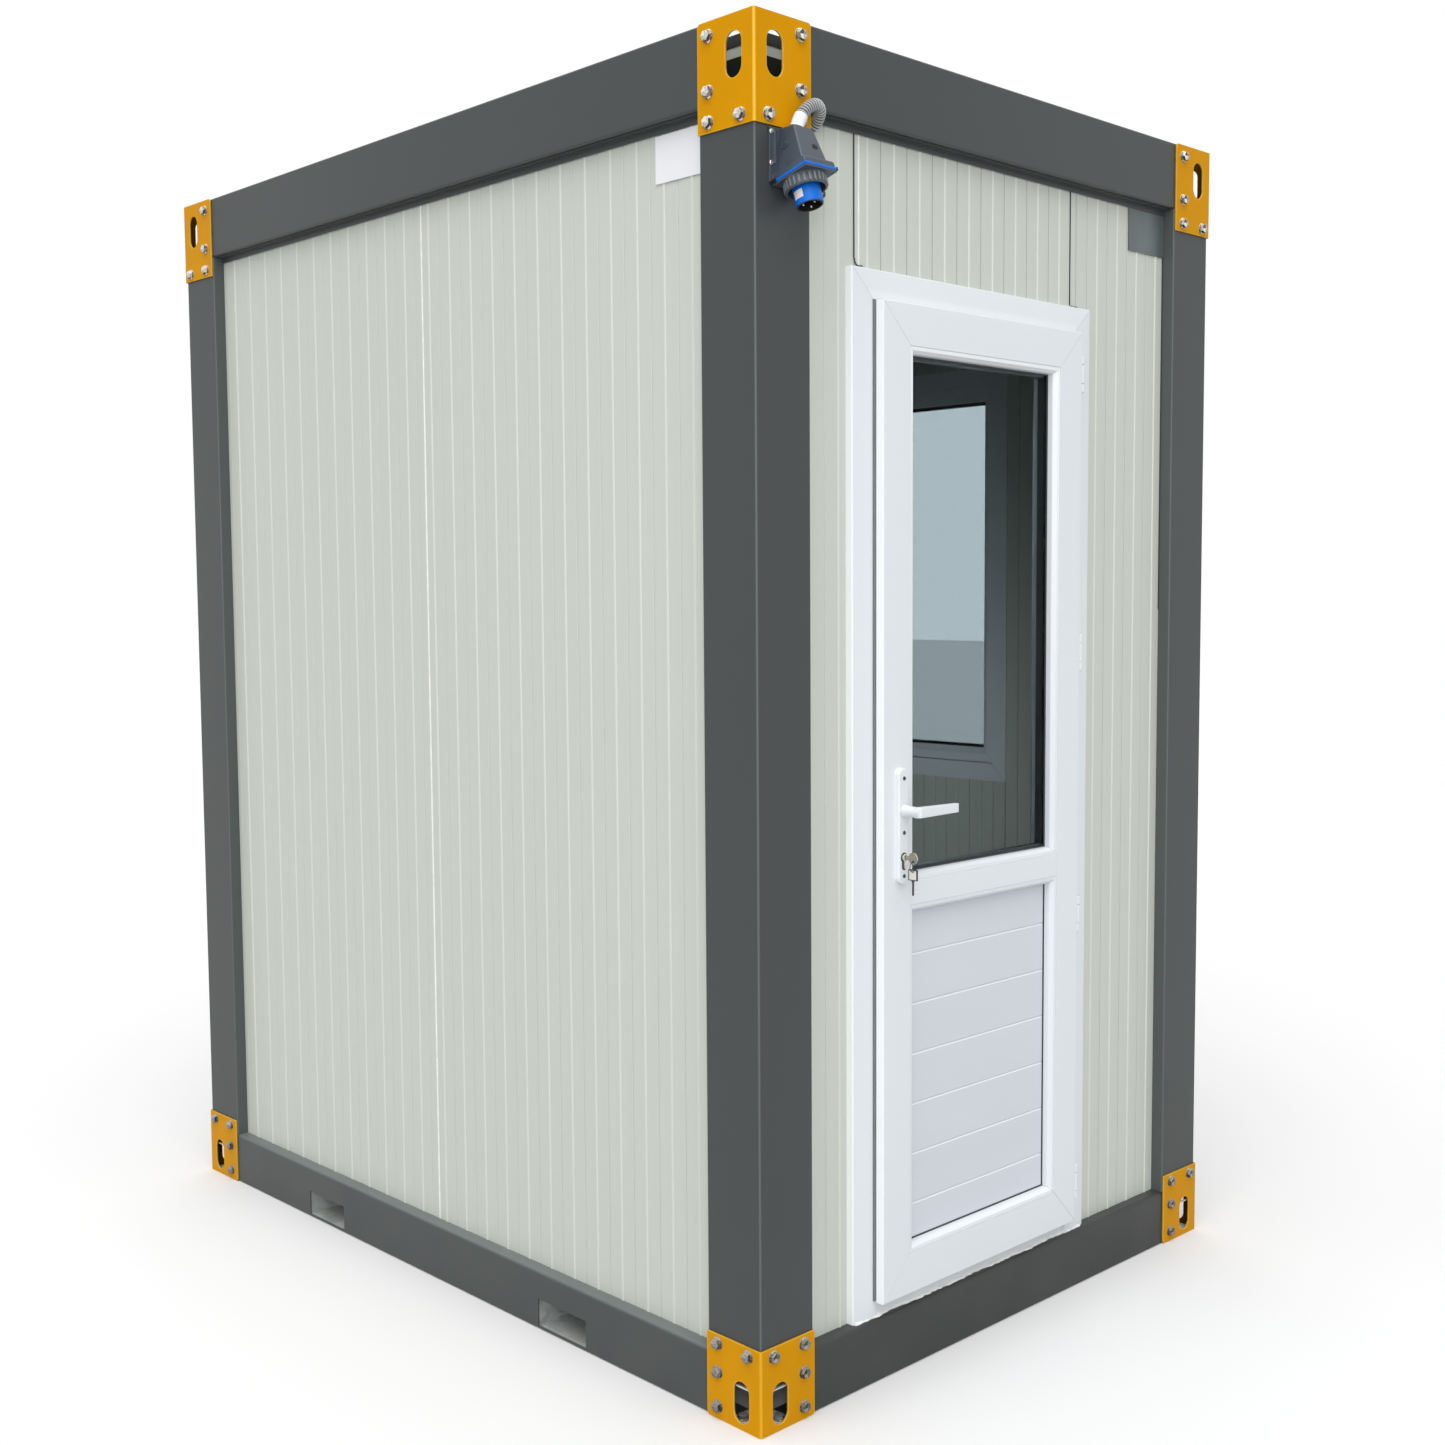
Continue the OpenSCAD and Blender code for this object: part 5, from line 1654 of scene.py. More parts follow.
class BOOTH_OT_lock(BoothStep, bpy.types.Operator):
    """Profile cylinder, the key in it, the ring and the second key"""
    bl_idname = "booth.lock"
    bl_label = "Lock and Keys"

    def execute(self, context):
        radius, half, drop, slim = 8.5 * MM, 5 * MM, 23 * MM, 1.6 * MM
        slot_half, slot_rise = 1.4 * MM, 5 * MM
        rim = bmesh.new()
        barrel = bmesh.new()
        for face_y, out in ((OUTER_PLATE_Y, -1), (INNER_PLATE_Y, 1)):
            across = Z if out < 0 else -Z
            for shape, grow, rise in ((rim, 1.3 * MM, 0.5 * MM), (barrel, -slim, CYLINDER_OUT)):
                place = axes(Vector((HANDLE_X, face_y, LOCK_Z)), X, across)
                r = radius + max(grow, -slim / 2)
                add_lathe(shape, [(0, -MM), (r, -MM), (r, rise - 0.4 * MM), (r - 0.4 * MM, rise), (0, rise)],
                          place, 28)
                add_box(shape, (HANDLE_X - half - grow, face_y - out * MM, LOCK_Z - drop + half - grow),
                        (HANDLE_X + half + grow, face_y + out * (rise - 0.05 * MM), LOCK_Z - radius / 2))
                foot = axes(Vector((HANDLE_X, face_y, LOCK_Z - drop + half)), X, across)
                r = half + grow
                add_lathe(shape, [(0, -MM), (r, -MM), (r, rise - 0.1 * MM), (0, rise - 0.1 * MM)], foot, 20)
            slot_y = face_y + out * CYLINDER_OUT
            add_box(rim, (HANDLE_X - slot_half, slot_y - out * MM, LOCK_Z - slot_rise),
                    (HANDLE_X + slot_half, slot_y + out * 0.3 * MM, LOCK_Z + slot_rise))
        # The black round the barrel and in the keyway is painted shade of the recess
        make_piece("lock_surround", rim, "door", inlet_black())
        make_piece("lock_barrel", barrel, "door", nickel(), ["lock_and_keys"])
        self.keys()
        return {"FINISHED"}

    def keys(self):
        """The key in the lock, the flat ring through it and the key that hangs from the ring."""
        bow_r, thick, neck, edge = 11.5 * MM, 2.4 * MM, 6.9 * MM, 0.6 * MM
        near_x, far_x = HANDLE_X - thick / 2, HANDLE_X + thick / 2
        bow_y = OUTER_PLATE_Y - CYLINDER_OUT - neck - bow_r
        hole_r = bow_r * 0.28
        hole_z = LOCK_Z - bow_r + 2 * hole_r
        bm = bmesh.new()
        add_lathe(bm, [(0, 0), (bow_r - edge, 0), (bow_r, edge), (bow_r, thick - edge), (bow_r - edge, thick),
                       (0, thick)], axes(Vector((near_x, bow_y, LOCK_Z)), Y, Z), 32)
        merge_points(bm)
        bm = cut_away(bm, hole_cutter(Vector((HANDLE_X, bow_y, hole_z)), hole_r, 3 * thick))
        slim, half_neck = 0.2 * MM, 3.5 * MM
        add_box(bm, (near_x + slim, bow_y + bow_r - 2 * MM, LOCK_Z - half_neck),
                (far_x - slim, OUTER_PLATE_Y - CYLINDER_OUT + MM, LOCK_Z + half_neck))
        ring_r, wire = 9.66 * MM, 0.9 * MM
        ring_z = hole_z - hole_r + 2 * wire - ring_r
        ring = bmesh.new()
        side_on = axes(Vector((HANDLE_X + ring_r, bow_y, ring_z)), X, Z)
        circle = bmesh.ops.create_circle(ring, segments=10, radius=wire, matrix=side_on)["verts"]
        turn_round(ring, circle + list(edges_of(circle)), (HANDLE_X, bow_y, ring_z), Y, 36)
        side, tall, hole_drop = 10 * MM, 20 * MM, 4 * MM
        top = ring_z - ring_r + hole_drop
        foot = top - tall
        hang = bmesh.new()
        body = add_box(hang, (near_x, bow_y - side, foot), (far_x, bow_y + side, top))
        upright = [e for e in edges_of(body) if abs(e.verts[0].co.x - e.verts[1].co.x) > thick / 2]
        round_edges(hang, upright, 3 * MM, 4)
        hang = cut_away(hang, hole_cutter(Vector((HANDLE_X, bow_y, top - hole_drop)), hole_r, 3 * thick))
        soften(hang, 0.4 * MM, 1, 50)
        shank = bmesh.new()
        add_lathe(shank, [(0, 0), (1.4 * MM, 0), (2 * MM, 2 * MM), (2 * MM, 26 * MM), (3.4 * MM, 28 * MM),
                          (3.4 * MM, 31 * MM), (0, 31 * MM)],
                  Matrix.Translation((HANDLE_X, bow_y, foot - 30 * MM)), 14)
        lap, band = 0.6 * MM, 0.5 * MM
        corner = Vector((near_x - band, bow_y - side - lap, foot - lap))
        add_rect_tube(shank, 2 * (side + lap), tall + 2 * lap, 1.6 * MM, thick + 2 * band, axes(corner, X, Y))
        make_piece("lock_key", bm, "door", key_metal(), sharp=30)
        make_piece("key_ring", joined([ring, shank]), "door", dark_steel(), sharp=30)
        make_piece("hanging_key_bow", hang, "door", tag_plastic(), sharp=30)


# Window

class BOOTH_OT_window(BoothStep, bpy.types.Operator):
    """Window in the right wall: mitred frame, casement, seals and double glazing"""
    bl_idname = "booth.window"
    bl_label = "Window"

    def execute(self, context):
        low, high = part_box("window_frame")
        pane_low, pane_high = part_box("window_glass")
        gap = sizes().mitre_gap
        out_face = high.x - WALL_X
        lap, frame_w, step, casement_d = 24 * MM, 69 * MM, 10 * MM, 49 * MM
        fixed = [(0, 0), (0, 12 * MM), (2 * MM, 15 * MM), (30 * MM, out_face), (frame_w - 3 * MM, out_face),
                 (frame_w, out_face - 3 * MM), (frame_w, -PANEL_T), (lap, -PANEL_T), (lap, 0)]
        origin = Vector((WALL_X, low.y, low.z))
        bm = bmesh.new()
        add_ring(bm, fixed, origin, Y, Z, high.y - low.y, high.z - low.z, gap)
        face = out_face - step
        back = face - casement_d
        glass_front = pane_high.x - WALL_X
        glass_back = pane_low.x - WALL_X
        wide = pane_low.y - (low.y + frame_w)
        bead = sizes().bead_width
        groove = wide - 10 * MM
        sash = [(0.4 * MM, back), (0.4 * MM, face - 2 * MM), (2.4 * MM, face), (wide - bead, face),
                (wide - bead, face - 1.5 * MM), (wide - 2 * MM, face - 6 * MM), (wide, face - 8 * MM),
                (wide, glass_front), (groove, glass_front), (groove, glass_back), (wide, glass_back),
                (wide, back + 8 * MM), (wide - bead, back + MM), (wide - bead, back)]
        inner = Vector((WALL_X, low.y + frame_w, low.z + frame_w))
        span_y = high.y - low.y - 2 * frame_w
        span_z = high.z - low.z - 2 * frame_w
        add_ring(bm, sash, inner, Y, Z, span_y, span_z, gap)
        make_piece("window_frame_bars", bm, "cabin", upvc(), ["window_frame"])
        seals = bmesh.new()
        for face_x, out in ((glass_front, 1), (glass_back, -1)):
            start = Vector((WALL_X + face_x, pane_low.y, pane_low.z))
            span = pane_high - pane_low
            add_ring(seals, seal_strip(out), start, Y, Z, span.y, span.z, 0.0)
        make_piece("window_seals", seals, "cabin", rubber())
        glazing_unit("window_glass", "cabin", pane_low, pane_high, 0, ["window_glass"])
        return {"FINISHED"}


# Power inlet

INLET_LOW, INLET_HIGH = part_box("inlet_housing")
INLET_X = (INLET_LOW.x + INLET_HIGH.x) / 2
INLET_TOP = INLET_HIGH.z
INLET_BACK_H = 96 * MM
INLET_TILT = math.radians(16)
MOUTH = (Matrix.Translation((INLET_X, -FRAME_Y, INLET_TOP - INLET_BACK_H))
         @ Matrix.Rotation(math.pi - INLET_TILT, 4, "X"))
MOUTH_W = 78 * MM
MOUTH_D = 85 * MM
GASKET_T = 4 * MM


def bridged(bm, loops):
    """Closed shape through several loops of points."""
    edges = []
    for loop in loops:
        verts = [bm.verts.new(p) for p in loop]
        edges.append([bm.edges.new((a, b)) for a, b in zip(verts, verts[1:] + verts[:1])])
    for one, two in zip(edges, edges[1:]):
        bmesh.ops.bridge_loops(bm, edges=one + two)
    for rim in (edges[0], edges[-1]):
        bmesh.ops.contextual_create(bm, geom=rim)


def add_box_on(bm, place, wide, tall, thick):
    """Small box that straddles a face, with local Z outwards."""
    verts = add_box(bm, (-wide / 2, -tall / 2, -thick), (wide / 2, tall / 2, thick / 2))
    bmesh.ops.transform(bm, matrix=place, verts=verts)


def mouth_boxes(boxes, radius):
    """Softened boxes that are drawn on the housing's mouth."""
    bm = bmesh.new()
    for low, high in boxes:
        add_box(bm, low, high)
    soften(bm, radius, 2)
    bmesh.ops.transform(bm, matrix=MOUTH, verts=bm.verts)
    return bm


class BOOTH_OT_inlet(BoothStep, bpy.types.Operator):
    """Power inlet: housing, gasket, ribbed ring, plug and contact pins"""
    bl_idname = "booth.inlet"
    bl_label = "Power Inlet"

    def execute(self, context):
        self.housing()
        self.gasket()
        self.ring()
        self.plug()
        return {"FINISHED"}

    def housing(self):
        """Sloping housing with its flared rim, back plate, screws and marks."""
        def at_mouth(half, near, far, rise):
            corners = ((-half, near), (half, near), (half, far), (-half, far))
            return [MOUTH @ Vector((x, y, -rise)) for x, y in corners]

        half_top, top_d = 24 * MM, 41 * MM
        ledge, rise = 7 * MM, 17 * MM
        half = MOUTH_W / 2
        top = [Vector((INLET_X + x, -FRAME_Y - y, INLET_TOP))
               for x, y in ((-half_top, 0), (half_top, 0), (half_top, top_d), (-half_top, top_d))]
        bm = bmesh.new()
        rim = at_mouth(half - ledge, 4 * MM, MOUTH_D - ledge - 3 * MM, rise)
        edge = at_mouth(half, 0.3 * MM, MOUTH_D, 0)
        shoulder = at_mouth(half, 3 * MM, MOUTH_D, 12 * MM)
        bridged(bm, [edge, shoulder, rim, top])
        soften(bm, 3 * MM, 3, 20)
        plate = bmesh.new()
        back_w, back_t = 93 * MM, 4 * MM
        add_box(plate, (INLET_X - back_w / 2, -FRAME_Y - back_t, INLET_TOP - INLET_BACK_H + 1.2 * MM),
                (INLET_X + back_w / 2, -FRAME_Y, INLET_TOP))
        soften(plate, 1.2 * MM, 2)
        fin = bmesh.new()
        fin_x, fin_half, fin_d, screw_x = 37.5 * MM, 0.8 * MM, 9 * MM, 42.2 * MM
        drops = (8 * MM, 62 * MM)
        for sign in (-1, 1):
            x = INLET_X + sign * fin_x
            add_box(fin, (x - fin_half, -FRAME_Y - fin_d, INLET_TOP - drops[1]),
                    (x + fin_half, -FRAME_Y, INLET_TOP - drops[0]))
        soften(fin, 0.5 * MM)
        make_piece("inlet_case", joined([bm, plate, fin]), "cabin", inlet_grey(),
                   ["inlet_housing"])
        screws = bmesh.new()
        for sign in (-1, 1):
            for drop in drops:
                spot = Vector((INLET_X + sign * screw_x, -FRAME_Y - back_t, INLET_TOP - drop))
                add_screw(screws, axes(spot, X, Z) @ Matrix.Scale(1.15, 4))
        make_piece("inlet_screws", screws, "cabin", nickel(), sharp=25)
        marks = bmesh.new()
        slope = (rim[2] + rim[3]) / 2
        crest = Vector((INLET_X, -FRAME_Y - top_d, INLET_TOP))
        spot = slope.lerp(crest, 0.4) + X * 12 * MM
        down = (slope - crest).normalized()
        # The vent is a black box, painted shade of a small hole
        add_box_on(marks, axes(spot, X, -down), 10 * MM, 7 * MM, 2.4 * MM)
        make_piece("inlet_vent", marks, "cabin", inlet_black())
        arcs = bmesh.new()
        for near, far, high_near in ((rim[0], rim[3], top[0]), (rim[1], rim[2], top[1])):
            along = (far - near).normalized()
            slant = (high_near - near) - along * (high_near - near).dot(along)
            heart = near.lerp(far, 0.5) + slant * 0.62
            up = slant.normalized()
            for radius in (5 * MM, 8 * MM, 11 * MM, 14 * MM):
                turns = [math.radians(a) for a in range(-140, -39, 10)]
                line = [heart + along * radius * math.cos(a) + up * radius * math.sin(a) for a in turns]
                add_tube(arcs, line, [MM] * len(line), 6)
        make_piece("inlet_arcs", arcs, "cabin", inlet_grey(), sharp=70)

    def gasket(self):
        """Blue gasket, the flange under it and dark corner blocks."""
        half = MOUTH_W / 2 + 2 * MM
        sheet = [((-half, 1.6 * MM, -1.4 * MM), (half, MOUTH_D + 2 * MM, GASKET_T))]
        make_piece("inlet_gasket_sheet", mouth_boxes(sheet, 1.2 * MM), "cabin", inlet_blue(),
                   ["inlet_gasket"])
        flange = [((-half + MM, 3 * MM, GASKET_T - 0.4 * MM), (half - MM, MOUTH_D + MM, GASKET_T + 3 * MM))]
        make_piece("inlet_flange", mouth_boxes(flange, 0.8 * MM), "cabin", inlet_grey())
        blocks = [((x - 3 * MM, y - 5 * MM, -1.8 * MM), (x + 0.8 * MM, y + 6.6 * MM, GASKET_T + 0.8 * MM))
                  for x, y in ((-half, 8 * MM), (half, 8 * MM), (half, MOUTH_D - 4 * MM))]
        make_piece("inlet_corner_blocks", mouth_boxes(blocks, 0.8 * MM), "cabin", inlet_black())

    def ring(self):
        """Bayonet ring with grip ribs and a flat eye for a cord."""
        outer, wall, deep = 39 * MM, 5 * MM, 24 * MM
        bm = bmesh.new()
        inner, waist, lip = outer - wall, outer - 2 * MM, outer - MM
        add_lathe(bm, [(inner, 0), (lip, 0), (outer, MM), (outer, 6 * MM), (waist, 8 * MM),
                       (waist, deep - 3 * MM), (lip, deep - 2 * MM), (lip, deep - 0.8 * MM),
                       (waist, deep), (inner, deep), (inner, 0)], steps=64)
        ribs, half, low, high = 26, 1.8 * MM, 7 * MM, deep - 2.5 * MM
        for k in range(ribs):
            rib = add_box(bm, (outer - 3 * MM, -half, low), (outer + 0.4 * MM, half, high))
            turn = Matrix.Rotation(math.tau * k / ribs, 3, "Z")
            bmesh.ops.rotate(bm, verts=rib, cent=(0, 0, 0), matrix=turn)
        # The ribs' outer faces get a painted highlight
        mark_painted_light(bm, lambda spot: 1.0 if spot.xy.length > outer + 0.2 * MM else 0.0)
        eye = Matrix.Translation((lip, 0, deep - 4 * MM)) @ Matrix.Rotation(math.pi / 2, 4, "X")
        side_on = eye @ Matrix.Translation((8 * MM, 0, 0))
        circle = bmesh.ops.create_circle(bm, segments=12, radius=3 * MM, matrix=side_on)["verts"]
        turn_round(bm, circle + list(edges_of(circle)), eye.translation, Y, 28)
        spot = MOUTH @ Matrix.Translation((0, MOUTH_D / 2, GASKET_T))
        bmesh.ops.transform(bm, matrix=spot, verts=bm.verts)
        make_piece("inlet_ribbed_ring", bm, "cabin", inlet_ring_plastic(), ["inlet_ring"])

    def plug(self):
        """Blue sleeve, dark inside, three pins and a bare sticker."""
        outer, wall, long, deep = 25 * MM, 3 * MM, 52 * MM, 34 * MM
        inner, floor = outer - wall, long - deep
        spot = MOUTH @ Matrix.Translation((0, MOUTH_D / 2, GASKET_T))
        bm = bmesh.new()
        add_lathe(bm, [(0, 0), (outer, 0), (outer, long - 2 * MM), (outer - MM, long - 0.4 * MM),
                       (outer - 1.6 * MM, long), (inner + 0.6 * MM, long), (inner, long - 0.8 * MM),
                       (inner, floor), (0, floor)], spot, 48)
        make_piece("inlet_plug_sleeve", bm, "cabin", inlet_blue(), ["inlet_plug"])
        lining = bmesh.new()
        skin, bore, rim, rim_z = inner - 0.1 * MM, inner - 1.4 * MM, outer - 1.2 * MM, long + 0.2 * MM
        add_lathe(lining, [(skin, long - 3 * MM), (skin, floor + 0.2 * MM), (0, floor + 0.2 * MM),
                           (0, floor + 2 * MM), (bore, floor + 2 * MM), (bore, rim_z), (rim, rim_z),
                           (rim, long - 0.6 * MM), (skin, long - 3 * MM)], spot, 48)
        key = add_box(lining, (-4 * MM, inner - 4 * MM, floor), (4 * MM, inner - 0.5 * MM, long - 4 * MM))
        bmesh.ops.transform(lining, matrix=spot, verts=key)
        pins = bmesh.new()
        collar_r, collar_h, pin_r = 3.2 * MM, deep - 4.5 * MM, 2.2 * MM
        for k in range(3):
            turn = spot @ Matrix.Rotation(math.tau * k / 3, 4, "Z") @ Matrix.Translation((0, 12 * MM, floor))
            add_lathe(lining, rod(collar_r, collar_h), turn, 16)
            add_lathe(pins, [(0, deep - 5 * MM), (pin_r, deep - 5 * MM), (pin_r, deep - 2.6 * MM),
                             (1.5 * MM, deep - 1.4 * MM), (0, deep - 1 * MM)], turn, 16)
        make_piece("inlet_plug_lining", lining, "cabin", inlet_black())
        make_piece("inlet_pins", pins, "cabin", nickel())
        sticker = bmesh.new()
        low_z, high_z, under, over = 27 * MM, 42 * MM, outer - 0.3 * MM, outer + 0.25 * MM
        start = Matrix.Rotation(math.radians(158), 4, "Z")
        corners = [(under, low_z), (over, low_z), (over, high_z), (under, high_z)]
        face = sticker.faces.new([sticker.verts.new(start @ Vector((r, 0, z))) for r, z in corners])
        bmesh.ops.spin(sticker, geom=[face], cent=(0, 0, 0), axis=(0, 0, 1), dvec=(0, 0, 0),
                       angle=math.radians(46), steps=10)
        bmesh.ops.transform(sticker, matrix=spot, verts=sticker.verts)
        make_piece("inlet_bare_sticker", sticker, "cabin", tag_plastic())


class BOOTH_OT_conduit(BoothStep, bpy.types.Operator):
    """Gland, white sleeve and corrugated conduit from the inlet to the wall"""
    bl_idname = "booth.conduit"
    bl_label = "Conduit"

    def execute(self, context):
        gland_y = -FRAME_Y - 24.5 * MM
        gland = Vector((INLET_X, gland_y, INLET_TOP))
        route = [(0, 0, 0), (5, 0, 12), (15, 0, 28), (31, 0, 42), (50, 1, 50), (67, 7, 45), (77, 20, 34),
                 (80, 37, 24), (79, 54.5, 22)]
        points = [gland + Vector(p) * MM for p in route]
        reach = sum((b - a).length for a, b in zip(points, points[1:]))
        rings = round(reach / sizes().ring_pitch)
        line = smooth_line(points, rings * 4 + 1)
        crest, dip = 11.2 * MM, 9 * MM
        bm = bmesh.new()
        painted_light = painted_light_layer(bm)
        loops = add_tube(bm, line, [crest if i % 4 < 2 else dip for i in range(len(line))], 20)
        # The rings' crests get a painted highlight
        for i, loop in enumerate(loops):
            for vert in loop:
                vert[painted_light] = 1.0 if i % 4 < 2 else 0.0
        make_piece("conduit_rings", bm, "cabin", conduit_plastic(), ["inlet_conduit"],
                   sharp=30)
        sleeve = bmesh.new()
        cover = [gland - Z * 0.5 * MM] + line[2:round(rings * 0.72):2]
        add_tube(sleeve, cover, [15.5 * MM] + [12.4 * MM] * (len(cover) - 1), 24)
        make_piece("conduit_sleeve", sleeve, "cabin", label_sheet(), sharp=60)
        return {"FINISHED"}


# Small things

class BOOTH_OT_labels(BoothStep, bpy.types.Operator):
    """Bare label on the long wall, bare plate beside the door, seam strips of painted highlight, dark seam
    lines, and a dark strip of painted shade beside the right post
    """
    bl_idname = "booth.labels"
    bl_label = "Bare Labels"

    def execute(self, context):
        rise = sizes().rib_height
        out, sunk, half, deep = rise + 1.5 * MM, rise - 0.2 * MM, 1.8 * MM, 2 * MM
        over_low, over_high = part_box("front_wall_over_door")
        left_seam, front_seam = LEFT_HIGH.y, over_low.x + 12 * MM
        pieces = (
            ("left_wall_label", (-WALL_X - out, -895 * MM, 2302 * MM), (-WALL_X - sunk, -758 * MM, 2389 * MM),
             0.4 * MM, label_sheet),
            ("front_wall_plate", (459 * MM, -WALL_Y - out, 2298 * MM), (600 * MM, -WALL_Y - sunk, 2391 * MM),
             0.4 * MM, dull_plate),
            # The seam strips are pale strips of painted highlight on the panels' edges
            ("left_wall_seam_highlight_strip", (-WALL_X - 1.6 * MM, left_seam - half, LEFT_LOW.z),
             (-WALL_X + deep, left_seam + half, LEFT_HIGH.z), 0.5 * MM, sealant),
            ("over_door_seam_highlight_strip", (front_seam - half, -WALL_Y - 1.4 * MM, FRONT_HIGH.z + 2 * MM),
             (front_seam + half, -WALL_Y + deep, over_high.z), 0.5 * MM, sealant),
        )
        for name, low, high, radius, finish in pieces:
            bm = bmesh.new()
            add_box(bm, low, high)
            soften(bm, radius)
            make_piece(name, bm, "cabin", finish())
        bm = bmesh.new()
        post_side = FRAME_X - POST_W
        # The first two are dark seam joints; the last is a dark strip of painted shade in the gap beside the
        # right post
        lines = ((-452 * MM, 2166 * MM, 2.2 * MM), (239 * MM, 2154 * MM, 1.2 * MM),
                 (post_side - 1.2 * MM, 1500 * MM, 2 * MM))
        for x, z, wide in lines:
            add_box(bm, (x - wide / 2, -WALL_Y - 1.9 * MM, z), (x + wide / 2, -WALL_Y + MM, over_high.z))
        make_piece("front_seam_lines", bm, "cabin", rubber())
        return {"FINISHED"}


class BOOTH_OT_sealant(BoothStep, bpy.types.Operator):
    """Ragged sealant under the threshold and two torn ends of seam tape"""
    bl_idname = "booth.sealant"
    bl_label = "Sealant"

    def execute(self, context):
        chance = random.Random(11)
        start, end = FRONT_LOW.x + 4 * MM, FRONT_LOW.x + FRAME_SPAN - 4 * MM
        count = 90
        bm = bmesh.new()
        rings = []
        for i in range(count + 1):
            x = start + (end - start) * i / count
            lip = (5.0 + chance.uniform(-1.8, 1.8) + 2.4 * math.sin(i * 0.31) * math.sin(i * 0.11)) * MM
            high = (4.2 + chance.uniform(-1.6, 1.6)) * MM
            y = -WALL_Y - 14.8 * MM
            outline = ((y, 0), (y - lip * 0.8, -0.2 * MM), (y - lip, -1.2 * MM), (y - lip * 0.9, high * 0.5),
                       (y - lip * 0.4, high), (y, high * 1.2))
            rings.append([Vector((x, oy, BASE_TOP + oz)) for oy, oz in outline])
        bridged(bm, rings)
        make_piece("threshold_sealant", bm, "cabin", sealant(), sharp=70)
        tape = bmesh.new()
        out = -WALL_Y - 2.2 * MM
        tears = ([(-452, 2166), (-449, 2156), (-441, 2152), (-430, 2153)],
                 [(240, 2152), (250, 2150.5), (261, 2151.5), (268, 2150)])
        for spots in tears:
            line = smooth_line([Vector((x * MM, out, z * MM)) for x, z in spots], 14)
            add_tube(tape, line, [(0.8 + 0.9 * abs(math.sin(i * 1.3))) * MM for i in range(len(line))], 8)
        make_piece("seam_tape_ends", tape, "cabin", rubber(), sharp=70)
        return {"FINISHED"}


# Stage

CAMERA_PLACE = Vector((-2.890, -3.2003, 1.5442))
CAMERA_TURN = [math.radians(angle) for angle in (-43.763, 4.309, -0.387)]
CAMERA_FOCUS = 1720.2
IMAGE_SIDE = 1445
SENSOR = 36.0
SKY_LIGHT = 0.42
# Share of its colour with which the floor lights the booth from below
FLOOR_BOUNCE = 0.6
# Soft lamps that light everything alike: direction they come from, softness in degrees, strength
SUNS = (
    ("overhead", (-0.6, -0.45, 1.9), 70, 2.5),
    ("near_fill", (-0.75, -0.7, 0.35), 70, 0.5),
    ("far_fill", (0.75, 0.75, 0.35), 80, 0.9),
)
# Tall soft lamp behind the camera, which the steel's folds catch
STRIP_PLACE = (-5.6, -6.0, 2.6)
STRIP_SIZE = (1.6, 4.2)
STRIP_POWER = 130
# Weak lamp in the booth, for the light that a real room keeps: place, aim, cone in degrees, size, power
INSIDE_PLACE = (-0.4, -0.3, 0.9)
INSIDE_AIM = (0.68, -0.2, 1.0)
INSIDE_CONE = 90
INSIDE_SIZE = 0.15
INSIDE_POWER = 12.0


def seen_directly(tree):
    """1 where a ray comes from the camera, a mirror or a pane, 0 where it only carries light."""
    path = add_node(tree, "ShaderNodeLightPath").outputs
    seen = path["Is Camera Ray"]
    for other in ("Is Glossy Ray", "Is Transmission Ray"):
        seen = calculate(tree, "MAXIMUM", seen, path[other])
    return seen


def camera_matrix():
    """Place and turn of the camera, from its azimuth, elevation and roll."""
    azimuth, elevation, roll = CAMERA_TURN
    back = Vector((math.sin(azimuth) * math.cos(elevation), -math.cos(azimuth) * math.cos(elevation),
                   math.sin(elevation)))
    right = (-back).cross(Z).normalized()
    up = right.cross(-back)
    turned = right * math.cos(roll) + up * math.sin(roll)
    return axes(CAMERA_PLACE, turned, back.cross(turned))


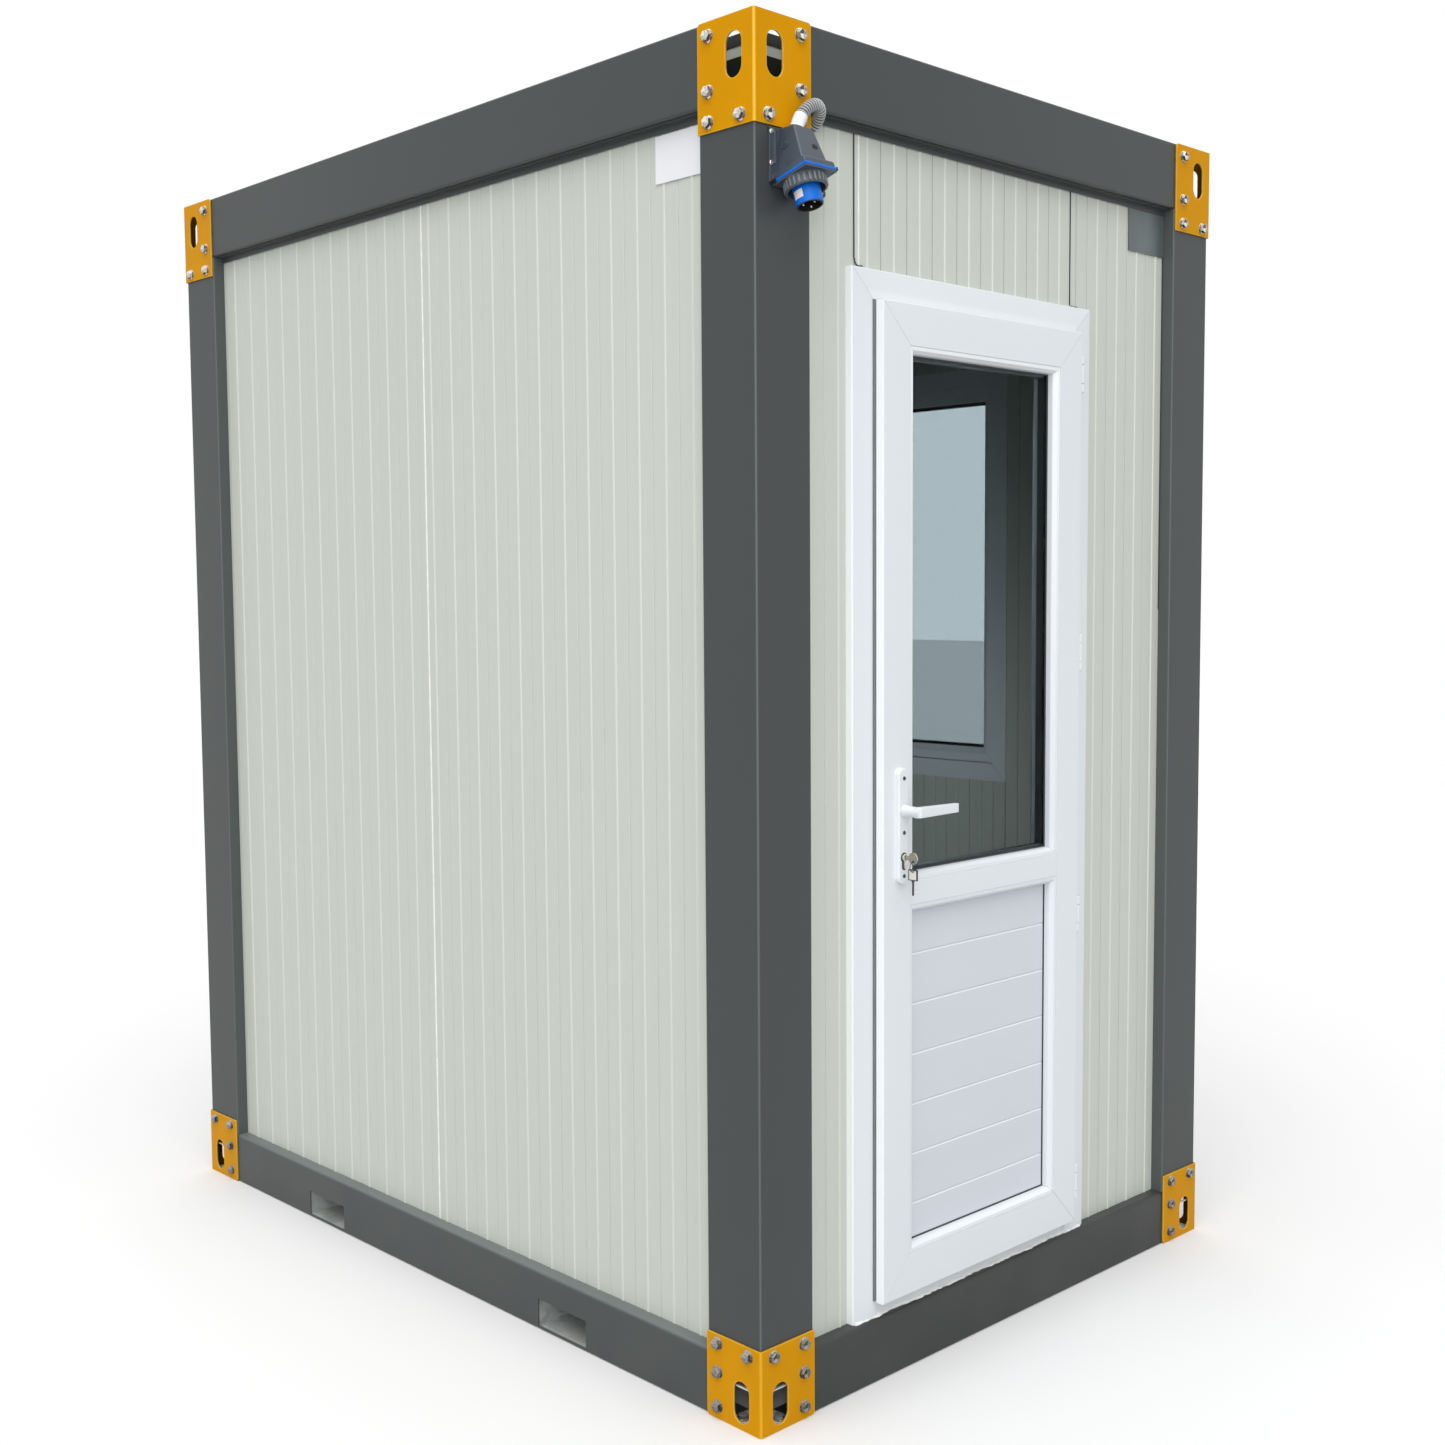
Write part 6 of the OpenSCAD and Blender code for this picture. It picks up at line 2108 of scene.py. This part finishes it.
class BOOTH_OT_stage(BoothStep, bpy.types.Operator):
    """Pale floor, white surroundings, soft lamps and the camera"""
    bl_idname = "booth.stage"
    bl_label = "Stage"

    def execute(self, context):
        scene = context.scene
        scene.view_settings.view_transform = "Standard"
        camera = bpy.data.objects.new("Camera", bpy.data.cameras.new("Camera"))
        camera.data.sensor_width = SENSOR
        camera.data.lens = CAMERA_FOCUS / IMAGE_SIDE * SENSOR
        camera.matrix_world = camera_matrix()
        scene.collection.objects.link(camera)
        scene.camera = camera
        self.floor(scene)
        self.sky(scene)
        for name, spot, softness, strength in SUNS:
            lamp = bpy.data.lights.new(name, "SUN")
            lamp.angle = math.radians(softness)
            lamp.energy = strength
            self.hang(scene, lamp, Vector(spot), Vector((0, 0, 0)))
        strip = bpy.data.lights.new("strip", "AREA")
        strip.shape = "RECTANGLE"
        strip.size, strip.size_y = STRIP_SIZE
        strip.energy = STRIP_POWER
        self.hang(scene, strip, Vector(STRIP_PLACE), Vector((0, 0, 1.3)))
        inside = bpy.data.lights.new("inside", "SPOT")
        inside.spot_size = math.radians(INSIDE_CONE)
        inside.spot_blend = 1.0
        inside.shadow_soft_size = INSIDE_SIZE
        inside.energy = INSIDE_POWER
        held = self.hang(scene, inside, Vector(INSIDE_PLACE), Vector(INSIDE_AIM))
        held.visible_camera = False
        held.visible_glossy = False
        held.visible_transmission = False
        return {"FINISHED"}

    def hang(self, scene, lamp, spot, target):
        """Puts a lamp in its place, aimed at a point."""
        held = bpy.data.objects.new(lamp.name, lamp)
        held.matrix_world = Matrix.LocRotScale(spot, (target - spot).to_track_quat("-Z", "Y"), None)
        scene.collection.objects.link(held)
        return held

    def floor(self, scene):
        """Wide pale floor that keeps the shadow."""
        bm = bmesh.new()
        bmesh.ops.create_grid(bm, x_segments=1, y_segments=1, size=40.0)
        bmesh.ops.translate(bm, verts=bm.verts, vec=(0, 0, -0.5 * MM))
        mesh = bpy.data.meshes.new("stage_floor")
        bm.to_mesh(mesh)
        bm.free()
        made, tree, shader = new_material("Stage floor")
        mottle = place_group(tree, mottle_group(), scale=0.6)
        tint = tone("floor")
        pale = blend(tree, mottle, shaded(tint, 0.985), shaded(tint, 1.0))
        base = blend(tree, seen_directly(tree), shaded(tint, FLOOR_BOUNCE), pale)
        tree.links.new(base, shader.inputs["Base Color"])
        shader.inputs["Roughness"].default_value = 0.9
        shader.inputs["Specular IOR Level"].default_value = 0.1
        mesh.materials.append(made)
        floor = bpy.data.objects.new("stage_floor", mesh)
        scene.collection.objects.link(floor)

    def sky(self, scene):
        """Even surroundings: white where they are seen, plain light elsewhere."""
        world = bpy.data.worlds.new("Surroundings")
        world.use_nodes = True
        tree = world.node_tree
        level = ranged(tree, seen_directly(tree), to_min=SKY_LIGHT)
        shader = tree.nodes["Background"]
        shader.inputs["Color"].default_value = (1.0, 1.0, 1.0, 1.0)
        tree.links.new(level, shader.inputs["Strength"])
        scene.world = world


STEPS = (
    BOOTH_OT_posts, BOOTH_OT_base_beams, BOOTH_OT_roof_beams, BOOTH_OT_corner_plates, BOOTH_OT_bolts,
    BOOTH_OT_floor, BOOTH_OT_roof, BOOTH_OT_walls, BOOTH_OT_door_frame, BOOTH_OT_door_leaf,
    BOOTH_OT_door_glazing, BOOTH_OT_hinges, BOOTH_OT_handle_plates, BOOTH_OT_lever, BOOTH_OT_lock,
    BOOTH_OT_window, BOOTH_OT_inlet, BOOTH_OT_conduit, BOOTH_OT_labels, BOOTH_OT_sealant, BOOTH_OT_stage,
)


class BOOTH_PT_steps(bpy.types.Panel):
    """The booth's steps, sizes and colours"""
    bl_label = "Security Booth"
    bl_space_type = "VIEW_3D"
    bl_region_type = "UI"
    bl_category = "Booth"

    def draw(self, context):
        for step in STEPS:
            self.layout.operator(step.bl_idname)
        for group in (context.scene.booth_sizes, context.scene.booth_colours):
            for name in group.bl_rna.properties.keys():
                if name not in ("rna_type", "name"):
                    self.layout.prop(group, name)


CLASSES = (BoothSizes, BoothColours, *STEPS, BOOTH_PT_steps)


def register():
    for part in CLASSES:
        bpy.utils.register_class(part)
    bpy.types.Scene.booth_sizes = PointerProperty(type=BoothSizes)
    bpy.types.Scene.booth_colours = PointerProperty(type=BoothColours)


def unregister():
    del bpy.types.Scene.booth_colours
    del bpy.types.Scene.booth_sizes
    for part in reversed(CLASSES):
        bpy.utils.unregister_class(part)


def main():
    register()
    for step in STEPS:
        group, name = step.bl_idname.split(".")
        getattr(getattr(bpy.ops, group), name)()


if __name__ == "__main__":
    main()
